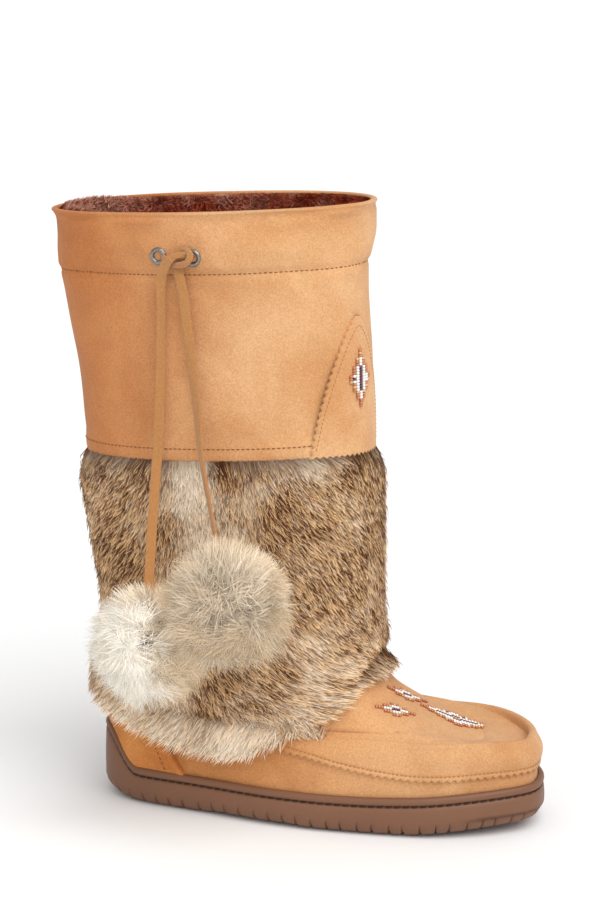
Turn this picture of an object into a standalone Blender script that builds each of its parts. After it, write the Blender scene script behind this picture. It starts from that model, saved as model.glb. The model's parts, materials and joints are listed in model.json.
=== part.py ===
"""Mukluk boot for the right foot: suede foot and leg, fur band, pinked vamp, drawstring and pompoms.

Metres. +X points to the toe, +Y to the inner side of the foot, +Z up.
The origin is on the floor, at the middle of the heel's flat spot.
"""

import math
from collections import namedtuple

import bmesh
import bpy
import numpy as np
from mathutils import Matrix, Vector

# Sole
OUTSOLE_LENGTH = 0.275
HEEL_BACK = 0.045  # from the origin back to the heel's end
BALL_WIDTH = 0.104
HEEL_WIDTH = 0.080
OUTLINE_SQUARENESS = 2.5  # 2 would give round ends
SOLE_HEIGHT = 0.0255  # floor to the rim of the sole's side
SOLE_FLOOR = 0.0125  # floor to the bed that the insole lies on
HEEL_CUP_RISE = 0.024  # how far the rim climbs at the back of the heel
TOE_SPRING = 0.006
SPRING_FROM = 0.150  # X at which the toe starts to rise
HEEL_SPRING = 0.003
HEEL_FLAT = 0.044  # length of the heel's flat spot
BALL_FLAT_FROM = 0.100  # X at which the forefoot comes down to the floor
ARCH_LIFT = 0.001
CUP_WALL = 0.0040
EDGE_ROUND = 0.0105  # radius at which the side turns under
GROOVE_DROP = 0.0055  # from the rim down to the stitching groove
GROOVE_DEPTH = 0.0012
GROOVE_WIDTH = 0.0016
NOTCH_PITCH = 0.0094
NOTCH_HEIGHT = 0.0085
NOTCH_WIDTH = 0.0026
NOTCH_REACH = 0.012  # how far a notch runs in under the sole

# Foot
TOE_HEIGHT = 0.0470
TOE_ROLL = 0.012  # how far the toe's top edge rolls inwards
INSTEP_HEIGHT = 0.092
WALL = 0.002
SUEDE = 0.0014  # thickness of a leather overlay
GAP = 0.0003
OVERLAY_GAP = 0.0010  # under an overlay, whose facets differ from the wall's
INSOLE_THICKNESS = 0.005

# Leg
ANKLE_HEIGHT = 0.117
ANKLE_FRONT = 0.1235  # X of the front of the leg at the ankle
ANKLE_DEPTH = 0.162
ANKLE_WIDTH = 0.090
BOOT_HEIGHT = 0.369
TOP_DEPTH = 0.197
TOP_WIDTH = 0.102
LEG_LEAN = 0.0172  # how far back the collar's middle lies from the ankle's
LEG_TILT = 0.055  # rise per length of the collar towards the front
LEG_SQUARENESS = 2.15
FUR_STEP = 0.0020  # how far the wall is set back where the fur band lies
FUR_TOP = 0.224  # height of the seam between the fur band and the leg panel
FUR_DEPTH = 0.0085  # from the leather's surface to the tips of the hair
FUR_LOCK_ROWS = 8
FUR_OVER_VAMP = 0.0068  # inner face of the fur band where its hem hangs over the overlays
HEM_TUCK = 0.014  # how far the heel's patch runs up under the fur's hem

# Overlays and trim
TOOTH_PITCH = 0.0045  # pinked edges
TOOTH_DEPTH = 0.0020
VAMP_END = 97.0  # degrees from the toe, under the fur on each side
VAMP_TOP = 9.5  # level, counted in rings, of its upper edge under the fur
COUNTER_START = 120.0
TAB_TURN = -16.0  # degrees from the toe to the arch's middle
TAB_SPREAD = 32.0
TAB_HEIGHT = 0.083
TAB_OVERHANG = 0.0035  # how far the arch hangs over the fur
EYELET_TURNS = (-99.0, -88.0)
EYELET_DROP = 0.026  # from the boot's height down to the eyelets
EYELET_RADIUS = 0.0045
EYELET_BORE = 0.0023
EYELET_HOLE = 0.0032
CORD_WIDTH = 0.0060
CORD_THICKNESS = 0.0018
POMPOM_RADIUS = 0.030

# Shapes as shares of the sizes above
OutlineRow = namedtuple("OutlineRow", "share lateral medial")
OUTLINE = [
    OutlineRow(0.00, 0.600, 0.620),
    OutlineRow(0.10, 0.570, 0.580),
    OutlineRow(0.20, 0.540, 0.540),
    OutlineRow(0.30, 0.532, 0.488),
    OutlineRow(0.40, 0.530, 0.443),
    OutlineRow(0.50, 0.509, 0.429),
    OutlineRow(0.60, 0.481, 0.467),
    OutlineRow(0.70, 0.471, 0.541),
    OutlineRow(0.80, 0.469, 0.601),
    OutlineRow(0.90, 0.429, 0.636),
    OutlineRow(1.00, 0.362, 0.606),
]

# Rolls are shares of TOE_ROLL, rises of the height up to the toe's edge (front) or the instep.
WallRow = namedtuple("WallRow", "front_roll side_roll back_roll front_rise side_rise back_rise")
FOOT_WALL = [
    WallRow(0.00, 0.00, 0.00, 0.00, 0.00, 0.00),
    WallRow(0.00, 0.00, 0.00, 0.24, 0.14, 0.14),
    WallRow(0.00, 0.00, 0.00, 0.40, 0.25, 0.30),
    WallRow(0.04, 0.03, 0.00, 0.65, 0.37, 0.46),
    WallRow(-0.02, 0.10, 0.00, 0.90, 0.48, 0.60),
    WallRow(0.36, 0.30, 0.00, 1.06, 0.55, 0.72),
    WallRow(0.95, 0.55, 0.00, 0.96, 0.59, 0.82),
]

# Reach is the share of the way from the leg's front to the toe's edge. Gather above 1 draws the
# columns together at the front, so that those at the sides stay over the edge below.
InstepRow = namedtuple("InstepRow", "reach front_rise side_rise back_rise foot gather")
INSTEP = [
    InstepRow(0.66, 0.09, 0.11, 0.30, 0.75, 1.55),
    InstepRow(0.36, 0.24, 0.29, 0.47, 0.50, 1.50),
    InstepRow(0.13, 0.45, 0.51, 0.62, 0.28, 1.30),
    InstepRow(0.02, 0.74, 0.77, 0.80, 0.10, 1.10),
]

LegRow = namedtuple("LegRow", "rise flare lean")
LEG = [
    LegRow(0.00, 0.00, 0.00),
    LegRow(0.17, 0.13, 0.18),
    LegRow(0.36, 0.33, 0.40),
    LegRow(0.60, 0.54, 0.68),
    LegRow(0.81, 0.73, 0.90),
    LegRow(0.90, 0.86, 0.97),
    LegRow(0.97, 0.98, 1.00),
    LegRow(1.00, 1.00, 1.00),
]

# Where the fur's tips end, by degrees from the toe
HemRow = namedtuple("HemRow", "turn ankle_share")
FUR_HEM = [
    HemRow(0, 0.725),
    HemRow(20, 0.720),
    HemRow(40, 0.705),
    HemRow(62, 0.640),
    HemRow(74, 0.590),
    HemRow(84, 0.535),
    HemRow(91, 0.440),
    HemRow(98, 0.345),
    HemRow(106, 0.335),
    HemRow(120, 0.360),
    HemRow(132, 0.405),
    HemRow(145, 0.465),
    HemRow(160, 0.510),
    HemRow(180, 0.530),
]

# The height of the vamp's pinked edge, by degrees from the toe
EdgeRow = namedtuple("EdgeRow", "turn toe_share")
PINKED_EDGE = [
    EdgeRow(0, 0.777),
    EdgeRow(20, 0.770),
    EdgeRow(40, 0.762),
    EdgeRow(56, 0.734),
    EdgeRow(68, 0.740),
    EdgeRow(76, 0.783),
    EdgeRow(84, 0.855),
    EdgeRow(91, 0.968),
    EdgeRow(97, 1.064),
]

# The arched tab on the front of the leg: half its width against its height
TabRow = namedtuple("TabRow", "rise reach")
TAB = [
    TabRow(0.00, 1.00),
    TabRow(0.14, 0.93),
    TabRow(0.28, 0.85),
    TabRow(0.42, 0.75),
    TabRow(0.56, 0.64),
    TabRow(0.70, 0.51),
    TabRow(0.82, 0.38),
    TabRow(0.92, 0.24),
    TabRow(1.00, 0.07),
]

# The drawstring's two hanging ends: position from the knot down to the pompom
CordRow = namedtuple("CordRow", "x y z")
REAR_END = [
    CordRow(0.0180, -0.0567, 0.3373),
    CordRow(0.0130, -0.0545, 0.3180),
    CordRow(0.0105, -0.0540, 0.2700),
    CordRow(0.0085, -0.0550, 0.2290),
    CordRow(0.0082, -0.0640, 0.1900),
    CordRow(0.0113, -0.0815, 0.1488),
]
FRONT_END = [
    CordRow(0.0250, -0.0567, 0.3372),
    CordRow(0.0270, -0.0545, 0.3180),
    CordRow(0.0310, -0.0545, 0.2750),
    CordRow(0.0358, -0.0575, 0.2310),
    CordRow(0.0445, -0.0690, 0.2050),
    CordRow(0.0584, -0.0932, 0.1801),
]
KNOT = Vector((0.0215, -0.0570, 0.3420))
POMPOMS = {
    "pompom_lower": Vector((0.0135, -0.0870, 0.1190)),
    "pompom_upper": Vector((0.0672, -0.1030, 0.1520)),
}

COLUMNS = 40
FOOT_LEVELS = [0, 1, 2, 3, 4, 4.5, 5, 5.5, 6, 6.5, 7, 7.5, 8, 8.5, 9, 9.5, 10]
FIRST_INSTEP = len(FOOT_WALL)
ANKLE_LEVEL = FIRST_INSTEP + len(INSTEP)
RIM_LEVEL = ANKLE_LEVEL + len(LEG) - 1


def smooth(share):
    share = np.clip(share, 0.0, 1.0)
    return share * share * (3.0 - 2.0 * share)


def through(stations, values, at):
    """Smooth curve through the rows of a table."""
    stations, values = np.asarray(stations, float), np.asarray(values, float)
    slopes = np.gradient(values, stations)
    i = np.clip(np.searchsorted(stations, at) - 1, 0, len(stations) - 2)
    step = stations[i + 1] - stations[i]
    t = np.clip((at - stations[i]) / step, 0.0, 1.0)
    rise = values[i + 1] - values[i]
    start, end = slopes[i] * step, slopes[i + 1] * step
    return values[i] + t * (start + t * (3 * rise - 2 * start - end + t * (start + end - 2 * rise)))


def around(turn, squareness):
    """Forward and sideways shares, from -1 to 1, of a rounded loop. Turn 0 is the toe."""
    c, s = np.cos(turn), np.sin(turn)
    power = 2.0 / squareness
    return np.sign(c) * np.abs(c) ** power, np.sign(s) * np.abs(s) ** power


def half_width(share, sideways):
    """Half-width of the sole's outline, before its ends are rounded off."""
    local = HEEL_WIDTH + (BALL_WIDTH - HEEL_WIDTH) * smooth((share - 0.2) / 0.45)
    rows = np.array(OUTLINE)
    lateral = through(rows[:, 0], rows[:, 1], share)
    medial = through(rows[:, 0], rows[:, 2], share)
    return local * np.where(sideways < 0, lateral, medial)


def sole_edge(turn):
    forward, sideways = around(turn, OUTLINE_SQUARENESS)
    share = (forward + 1.0) / 2.0
    return OUTSOLE_LENGTH * share - HEEL_BACK, half_width(share, sideways) * sideways


def outline(turn, inset):
    """The sole's outline in plan, moved inwards by inset."""
    turn = np.asarray(turn, float)
    x, y = sole_edge(turn)
    ahead, behind = sole_edge(turn + 0.02), sole_edge(turn - 0.02)
    along_x, along_y = ahead[0] - behind[0], ahead[1] - behind[1]
    length = np.hypot(along_x, along_y)
    return x - inset * along_y / length, y + inset * along_x / length


def toe_lift(x):
    return TOE_SPRING * smooth((x - SPRING_FROM) / (OUTSOLE_LENGTH - HEEL_BACK - SPRING_FROM))


def sole_lift(x):
    """How far the sole's underside stands off the floor at x."""
    heel = HEEL_SPRING * smooth((-HEEL_FLAT / 2 - x) / (HEEL_BACK - HEEL_FLAT / 2))
    arch = ARCH_LIFT * smooth((x - HEEL_FLAT / 2) / 0.02) * smooth((BALL_FLAT_FROM - x) / 0.02)
    return toe_lift(x) + heel + arch


def bed_height(x):
    """Height of the sole's floor, inside its cup."""
    return SOLE_FLOOR + 0.5 * toe_lift(x)


def rim_height(turn):
    """Height of the sole's rim, which climbs round the back of the heel."""
    x, _ = outline(turn, 0.0)
    cup = smooth((-0.016 - x) / (HEEL_BACK - 0.019))
    toe = smooth((x - 0.10) / 0.13)
    return SOLE_HEIGHT - 0.002 * (1 - toe) + TOE_SPRING * 0.75 * toe**2 + HEEL_CUP_RISE * cup


def gathered(turn, power):
    """Turns of the front half drawn together towards the toe's middle."""
    turn = (turn + math.pi) % (2 * math.pi) - math.pi
    quarter = math.pi / 2
    return np.sign(turn) * quarter * np.minimum(np.abs(turn) / quarter, 1.0) ** power


def level_ring(level, turn):
    """One ring of the body in the leather's outer surface, from the feather edge up."""
    ends = np.cos(turn) ** 2
    front, back = np.where(np.cos(turn) > 0, ends, 0.0), np.where(np.cos(turn) < 0, ends, 0.0)
    side = 1.0 - ends
    toe_edge = OUTSOLE_LENGTH - HEEL_BACK - CUP_WALL - TOE_ROLL
    if level < FIRST_INSTEP:
        row = FOOT_WALL[level]
        roll = front * row.front_roll + side * row.side_roll + back * row.back_roll
        x, y = outline(turn, CUP_WALL + GAP + TOE_ROLL * roll)
        toe_rise = front * row.front_rise * (TOE_HEIGHT - SOLE_FLOOR)
        rise = (side * row.side_rise + back * row.back_rise) * (INSTEP_HEIGHT - SOLE_FLOOR)
        z = bed_height(x) + GAP + toe_rise + rise
        return np.stack([x, y, z], -1)
    if level < ANKLE_LEVEL:
        row = INSTEP[level - FIRST_INSTEP]
        ankle_back = ANKLE_FRONT - ANKLE_DEPTH
        foot_back = CUP_WALL + GAP - HEEL_BACK
        front_x = ANKLE_FRONT + row.reach * (toe_edge - ANKLE_FRONT)
        back_x = ankle_back + row.foot * (foot_back - ankle_back)
        squareness = LEG_SQUARENESS + row.foot * (OUTLINE_SQUARENESS - LEG_SQUARENESS)
        turn = np.where(np.cos(turn) > 0, gathered(turn, row.gather), turn)
        ends = np.cos(turn) ** 2
        front, side = np.where(np.cos(turn) > 0, ends, 0.0), 1.0 - ends
        forward, sideways = around(turn, squareness)
        share = (forward + 1.0) / 2.0
        x = back_x + share * (front_x - back_x)
        foot_half = half_width((x + HEEL_BACK) / OUTSOLE_LENGTH, sideways)
        foot_half -= CUP_WALL + 0.5 * TOE_ROLL
        half = ANKLE_WIDTH / 2 + row.foot * (foot_half - ANKLE_WIDTH / 2)
        z = 0.0
        for weight, base, rise in (
            (front, TOE_HEIGHT, row.front_rise),
            (side, 0.64 * INSTEP_HEIGHT, row.side_rise),
            (back, 0.80 * INSTEP_HEIGHT, row.back_rise),
        ):
            z = z + weight * (base + (ANKLE_HEIGHT - base) * rise)
        return np.stack([x, half * sideways, z], -1)
    row = LEG[level - ANKLE_LEVEL]
    depth = ANKLE_DEPTH + row.flare * (TOP_DEPTH - ANKLE_DEPTH)
    width = ANKLE_WIDTH + row.flare * (TOP_WIDTH - ANKLE_WIDTH)
    middle = ANKLE_FRONT - ANKLE_DEPTH / 2 - LEG_LEAN * row.lean
    forward, sideways = around(turn, LEG_SQUARENESS)
    x = middle + forward * depth / 2
    tilt = LEG_TILT * smooth(row.rise / 0.36) * (x - middle)
    z = ANKLE_HEIGHT + row.rise * (BOOT_HEIGHT - ANKLE_HEIGHT) + tilt
    return np.stack([x, sideways * width / 2, z], -1)


def body(level, turn):
    """Point of the leather's outer surface. Level counts rings, turn goes round from the toe."""
    level, turn = np.broadcast_arrays(np.asarray(level, float), np.asarray(turn, float))
    k = np.clip(np.floor(level).astype(int), 0, RIM_LEVEL - 1)
    first, last = max(k.min() - 1, 0), min(k.max() + 2, RIM_LEVEL)
    rings = np.stack([level_ring(n, turn) for n in range(first, last + 1)])
    chords = np.linalg.norm(np.diff(rings, axis=0), axis=-1, keepdims=True)
    slopes = np.diff(rings, axis=0) / chords
    inner = (slopes[:-1] * chords[1:] + slopes[1:] * chords[:-1]) / (chords[:-1] + chords[1:])
    tangents = np.concatenate([slopes[:1], inner, slopes[-1:]])
    t = (level - k)[..., None]
    k = k - first

    def pick(values, index):
        return np.take_along_axis(values, index[None, ..., None], 0)[0]

    low, high = pick(rings, k), pick(rings, k + 1)
    chord = pick(chords, k)
    start, end = pick(tangents, k) * chord, pick(tangents, k + 1) * chord
    rise = high - low
    return low + t * (start + t * (3 * rise - 2 * start - end + t * (start + end - 2 * rise)))


def surface(level, turn, offset=0.0):
    """A point of the body moved out along its normal by offset."""
    level, turn = np.broadcast_arrays(np.asarray(level, float), np.asarray(turn, float))
    small = 0.02
    below, above = np.clip(level - small, 0, RIM_LEVEL), np.clip(level + small, 0, RIM_LEVEL)
    up = body(above, turn) - body(below, turn)
    along = body(level, turn + small) - body(level, turn - small)
    normal = np.cross(along, up)
    normal /= np.linalg.norm(normal, axis=-1, keepdims=True)
    return body(level, turn) + normal * np.asarray(offset, float)[..., None]


def level_at(height, turn):
    """The level at which the body reaches a height, by halving."""
    turn = np.asarray(turn, float)
    low, high = np.zeros_like(turn), np.full_like(turn, float(RIM_LEVEL))
    for _ in range(18):
        middle = (low + high) / 2
        under = body(middle, turn)[..., 2] < height
        low, high = np.where(under, middle, low), np.where(under, high, middle)
    return (low + high) / 2


def turns(count, start=0.0, end=2 * math.pi, closed=True):
    return np.linspace(start, end, count, endpoint=not closed)


def material(name, colour, roughness, metallic=0.0):
    made = bpy.data.materials.new(name)
    made.use_nodes = True
    shader = made.node_tree.nodes["Principled BSDF"]
    shader.inputs["Base Color"].default_value = (*colour, 1.0)
    shader.inputs["Roughness"].default_value = roughness
    shader.inputs["Metallic"].default_value = metallic
    return made


def add(name, bm, finish, collection):
    """Turns a bmesh into a named object with one material."""
    bmesh.ops.triangulate(bm, faces=[f for f in bm.faces if len(f.verts) > 4])
    bmesh.ops.recalc_face_normals(bm, faces=bm.faces[:])
    if bm.calc_volume(signed=True) < 0.0:
        bmesh.ops.reverse_faces(bm, faces=bm.faces[:])
    mesh = bpy.data.meshes.new(name)
    bm.to_mesh(mesh)
    bm.free()
    mesh.materials.append(finish)
    mesh.shade_smooth()
    mesh.set_sharp_from_angle(angle=math.radians(40))
    made = bpy.data.objects.new(name, mesh)
    collection.objects.link(made)
    return made


def grid_verts(bm, grid):
    return [[bm.verts.new(point) for point in row] for row in grid]


def grid_faces(bm, rows, closed):
    """Triangles between rows of vertices, all split the same way so that nested shells stay clear."""
    count = len(rows[0])
    steps = range(count if closed else count - 1)
    for low, high in zip(rows, rows[1:]):
        for c in steps:
            d = (c + 1) % count
            bm.faces.new((low[c], low[d], high[d]))
            bm.faces.new((low[c], high[d], high[c]))


def wrap(sections):
    """Solid ring whose section is a closed loop of rows, each row closed too."""
    bm = bmesh.new()
    rows = grid_verts(bm, sections)
    grid_faces(bm, [*rows, rows[0]], closed=True)
    return bm


def panel(outer, inner, pinked):
    """Closed patch between two grids. The pinked ones of its low, high, left and right have teeth."""
    bm = bmesh.new()
    faces = [grid_verts(bm, outer), grid_verts(bm, inner)]
    points = [np.array(outer), np.array(inner)]
    rows, columns = len(outer), len(outer[0])
    sides = {}
    for c in range(columns - 1):
        sides[(0, c), (0, c + 1)] = "low"
        sides[(rows - 1, c), (rows - 1, c + 1)] = "high"
    for r in range(rows - 1):
        sides[(r, 0), (r + 1, 0)] = "left"
        sides[(r, columns - 1), (r + 1, columns - 1)] = "right"
    inward = {"low": (1, 0), "high": (-1, 0), "left": (0, 1), "right": (0, -1)}
    borders = [{}, {}]
    for (a, b), side in sides.items():
        steps = 1
        if side in pinked:
            steps = 2 * max(1, round(math.dist(points[0][a], points[0][b]) / TOOTH_PITCH))
        for depth in (0, 1):
            start, end = points[depth][a], points[depth][b]
            next_in = points[depth][a[0] + inward[side][0]][a[1] + inward[side][1]]
            pull = TOOTH_DEPTH * (next_in - start) / np.linalg.norm(next_in - start)
            extra = [start + (end - start) * i / steps + pull * (i % 2) for i in range(1, steps)]
            made = [bm.verts.new(point) for point in extra]
            borders[depth][a, b] = [faces[depth][a[0]][a[1]], *made, faces[depth][b[0]][b[1]]]
    for depth in (0, 1):
        for r in range(rows - 1):
            for c in range(columns - 1):
                corners = [(r, c), (r, c + 1), (r + 1, c + 1), (r + 1, c)]
                loop = []
                for a, b in zip(corners, [*corners[1:], corners[0]]):
                    if (a, b) in sides:
                        loop += borders[depth][a, b][:-1]
                    elif (b, a) in sides:
                        loop += borders[depth][b, a][:0:-1]
                    else:
                        loop.append(faces[depth][a[0]][a[1]])
                if len(loop) == 4:
                    bm.faces.new(loop[:3])
                    bm.faces.new((loop[0], loop[2], loop[3]))
                else:
                    bm.faces.new(loop)
    for key in sides:
        out, into = borders[0][key], borders[1][key]
        for k in range(len(out) - 1):
            bm.faces.new((out[k], out[k + 1], into[k + 1], into[k]))
    return bm


def overlay(level, turn):
    """Outer and inner points of a leather overlay on the body."""
    return surface(level, turn, OVERLAY_GAP + SUEDE), surface(level, turn, OVERLAY_GAP)


def cut(target, cutter, operation="DIFFERENCE"):
    """Boolean of a piece with another, which stays among the cutters and isn't shown."""
    cutter.hide_render = True
    cutter.display_type = "WIRE"
    modifier = target.modifiers.new(cutter.name, "BOOLEAN")
    modifier.operation = operation
    modifier.object = cutter


def outsole_rows(turn):
    """Rows of the sole's side, lip and cup, from the underside up and back down inside."""
    x, _ = outline(turn, 0.0)
    rim = rim_height(turn)
    lift = sole_lift(x)
    groove = rim - GROOVE_DROP
    side = EDGE_ROUND + 0.25 * (groove - EDGE_ROUND)
    rows = []
    for inset, height in (
        (EDGE_ROUND, lift),
        (0.55 * EDGE_ROUND, lift + 0.10 * EDGE_ROUND),
        (0.20 * EDGE_ROUND, lift + 0.36 * EDGE_ROUND),
        (0.02 * EDGE_ROUND, lift + 0.80 * EDGE_ROUND),
        (0.0, lift * 0.5 + side),
        (0.0006, groove - GROOVE_WIDTH / 2),
        (0.0006 + GROOVE_DEPTH, groove),
        (0.0008, groove + GROOVE_WIDTH / 2),
        (0.0009, rim - 0.0018),
        (0.0018, rim - 0.0003),
        (0.0030, rim),
        (CUP_WALL, rim - 0.0006),
        (CUP_WALL, bed_height(outline(turn, CUP_WALL)[0])),
    ):
        px, py = outline(turn, inset)
        rows.append(np.stack([px, py, height + 0.0 * px], -1))
    return rows


def strips(bm, row):
    """Flat strips across a loop, from one side to the other, as its floor."""
    count = len(row)
    for c in range(count // 2):
        a, b = row[c], row[(c + 1) % count]
        d, e = row[(count - c - 1) % count], row[(count - c) % count]
        corners = list(dict.fromkeys((a, b, d, e)))
        bm.faces.new(corners)


def outsole(finish, collection, cutters):
    """Rubber cup sole: one moulding with a grooved side, a heel cup and notched tread."""
    bm = bmesh.new()
    rows = grid_verts(bm, outsole_rows(turns(COLUMNS)))
    grid_faces(bm, rows, closed=True)
    strips(bm, rows[0])
    strips(bm, rows[-1])
    sole = add("outsole", bm, finish, collection)
    cut(sole, notch_cutter(finish, cutters))
    return sole


def notch_cutter(finish, cutters):
    """Wedges across the sole's lower edge, narrow at the top and wide on the floor."""
    bm = bmesh.new()
    fine = turns(720, -math.pi, math.pi)
    x, y = outline(fine, 0.0)
    lengths = np.concatenate([[0.0], np.cumsum(np.hypot(np.diff(x), np.diff(y)))])
    total = lengths[-1]
    count = int(total / NOTCH_PITCH)
    for i in range(count):
        at = (i + 0.5 + 0.12 * (-1) ** i) * total / count
        turn = np.interp(at, lengths, fine)
        px, py = (float(v) for v in outline(turn, 0.0))
        qx, qy = (float(v) for v in outline(turn, 1.0))
        inward = Vector((qx - px, qy - py, 0.0)).normalized()
        along = Vector((-inward.y, inward.x, 0.0))
        lift = float(sole_lift(px))
        outer = Vector((px, py, lift)) - inward * 0.003
        inner = Vector((px, py, lift)) + inward * NOTCH_REACH
        corners = []
        for point, high in ((outer, NOTCH_HEIGHT), (inner, NOTCH_HEIGHT * 0.12)):
            for shift, height in ((-0.5, -0.004), (0.5, -0.004), (0.12, high), (-0.12, high)):
                place = point + along * shift * NOTCH_WIDTH
                corners.append(bm.verts.new(place + Vector((0.0, 0.0, height))))
        a, b = corners[:4], corners[4:]
        bm.faces.new(a)
        bm.faces.new(b[::-1])
        for k in range(4):
            m = (k + 1) % 4
            bm.faces.new((a[k], b[k], b[m], a[m]))
    return add("notches", bm, finish, cutters)


def insole(finish, collection):
    """Loose footbed on the sole's floor, inside the upper."""
    turn = turns(COLUMNS)
    bm = bmesh.new()
    rows = []
    for inset, height in ((0.0, GAP), (0.0, 0.8 * INSOLE_THICKNESS), (0.0012, INSOLE_THICKNESS)):
        x, y = outline(turn, CUP_WALL + 2 * GAP + WALL + inset)
        rows.append(np.stack([x, y, bed_height(x) + height], -1))
    made = grid_verts(bm, rows)
    grid_faces(bm, made, closed=True)
    strips(bm, made[0])
    strips(bm, made[-1])
    return add("insole", bm, finish, collection)


def seam_level(turn):
    """Where the leg panel's lower edge steps out over the fur band."""
    x = body(ANKLE_LEVEL + 2.0, turn)[..., 0]
    middle = ANKLE_FRONT - ANKLE_DEPTH / 2
    return level_at(FUR_TOP + LEG_TILT * (x - middle), turn)


def set_back(level):
    """The wall lies deeper under the fur band than under the leg panel."""
    return FUR_STEP * smooth((level - 3.5) / 4.0)


def upper(finish, collection, cutters):
    """Foot and leg in one hollow wall, stepped out at the lower edge of the leg panel."""
    turn = turns(COLUMNS)
    seam = seam_level(turn)
    outer = [surface(level, turn, -set_back(level)) for level in FOOT_LEVELS]
    outer += [surface(ANKLE_LEVEL, turn, -FUR_STEP), surface(12.2, turn, -FUR_STEP)]
    outer.append(surface(seam, turn, -FUR_STEP))
    outer.append(surface(seam + 0.005, turn, 0.0))
    outer += [surface(level, turn, 0.0) for level in (14, 15, 16, 16.5)]
    outer.append(surface(RIM_LEVEL - 0.12, turn, 0.0))
    outer.append(surface(RIM_LEVEL, turn, -0.3 * WALL))
    inner = [surface(RIM_LEVEL, turn, -0.7 * WALL), surface(RIM_LEVEL - 0.12, turn, -WALL)]
    inner += [surface(level, turn, -WALL) for level in (16, 15, 14)]
    for level in (13.2, 12.2, 11, 10, 9, 8.5, 8, 7.5, 7, 6.5, 6, 5.5, 5, 4.5, 4, 2, 0):
        inner.append(surface(level, turn, -set_back(level) - WALL))
    made = add("upper", wrap([*outer, *inner]), finish, collection)
    hole = [(0.0, 0.004), (EYELET_HOLE, 0.004), (EYELET_HOLE, -0.006), (0.0, -0.006)]
    for name, degrees in zip(("hole_rear", "hole_front"), EYELET_TURNS):
        cut(made, lathe(name, hole, *eyelet_seat(degrees), finish, cutters))
    return made


def eyelet_seat(degrees):
    """Centre and outward normal of an eyelet on the leg."""
    turn = np.radians(np.array([degrees]))
    level = level_at(BOOT_HEIGHT - EYELET_DROP, turn)
    centre, out = surface(level, turn, 0.0)[0], surface(level, turn, 0.001)[0]
    return Vector(centre), Vector(out - centre).normalized()


def lathe(name, profile, centre, axis, finish, collection, segments=14):
    """Turned solid about an axis. The profile is a loop of radius and height along the axis."""
    bm = bmesh.new()
    frame = axis.to_track_quat("Z", "Y").to_matrix()
    rings = []
    for radius, height in profile:
        if radius == 0.0:
            rings.append([bm.verts.new(centre + axis * height)] * segments)
            continue
        around_axis = (2 * math.pi * k / segments for k in range(segments))
        rings.append([
            bm.verts.new(centre + frame @ Vector((radius * math.cos(a), radius * math.sin(a), height)))
            for a in around_axis
        ])
    closed = profile[0][0] > 0.0
    for low, high in zip(rings, [*rings[1:], rings[0]] if closed else rings[1:]):
        for k in range(segments):
            m = (k + 1) % segments
            bm.faces.new(dict.fromkeys((low[k], low[m], high[m], high[k])))
    return add(name, bm, finish, collection)


def eyelet(name, degrees, finish, collection):
    """Two-part metal eyelet: a rolled flange outside, a barrel through the wall, a washer inside."""
    wall = WALL + 2 * GAP
    profile = [
        (EYELET_BORE, 0.0008),
        (EYELET_BORE + 0.0004, 0.0013),
        (0.8 * EYELET_RADIUS, 0.0014),
        (0.95 * EYELET_RADIUS, 0.0010),
        (EYELET_RADIUS, GAP),
        (EYELET_HOLE - GAP, GAP),
        (EYELET_HOLE - GAP, -wall),
        (0.9 * EYELET_RADIUS, -wall),
        (0.9 * EYELET_RADIUS, -wall - 0.0005),
        (EYELET_BORE, -wall - 0.0006),
    ]
    return lathe(name, profile, *eyelet_seat(degrees), finish, collection)


def hem_height(turn):
    rows = np.array(FUR_HEM)
    return ANKLE_HEIGHT * through(rows[:, 0], rows[:, 1], np.abs(np.degrees(turn)))


def fur_band(finish, collection):
    """Fur pelt round the ankle: staggered locks outside, smooth skin inside, a ragged hem."""
    turn = turns(COLUMNS, -math.pi, math.pi)
    seam = seam_level(turn)
    top = body(seam, turn)[..., 2] - GAP
    tip = np.arange(COLUMNS) % 2
    hem = hem_height(turn) + 0.003 * (0.5 - tip)
    outer = [fur_ring(0.0, top, hem, turn, -0.0006)]
    outer.append(fur_ring(0.03, top, hem, turn, 0.0))
    for row in range(FUR_LOCK_ROWS):
        centre = (tip + row) % 2
        swell = 1.0 if row else 0.75
        root = (row + 0.25) / FUR_LOCK_ROWS + 0.02 * centre
        end = (row + 0.92) / FUR_LOCK_ROWS + 0.02 * (centre - 1)
        drape = 0.003 * smooth((root - 0.7) / 0.2)
        low_offset = FUR_DEPTH * swell * (0.64 + 0.12 * centre) + drape
        high_offset = FUR_DEPTH * swell * (0.78 + 0.20 * centre) + drape
        outer.append(fur_ring(root, top, hem, turn, low_offset))
        outer.append(fur_ring(end, top, hem, turn, high_offset))
    outer.append(fur_ring(1.0, top, hem, turn, FUR_OVER_VAMP + 0.0020))
    inner = []
    for share in (1.0, 0.94, 0.86, 0.76, 0.62, 0.45, 0.25, 0.0):
        hang = smooth((share - 0.35) / 0.5)
        skin = hang * FUR_OVER_VAMP + (1 - hang) * (OVERLAY_GAP - FUR_STEP)
        inner.append(fur_ring(share, top, hem, turn, skin))
    return add("fur_band", wrap([*outer, *inner]), finish, collection)


def fur_ring(share, top, hem, turn, offset):
    """A ring of the fur band at a share of the way from its top to its hem."""
    return surface(level_at(top + (hem - top) * share, turn), turn, offset)


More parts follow.
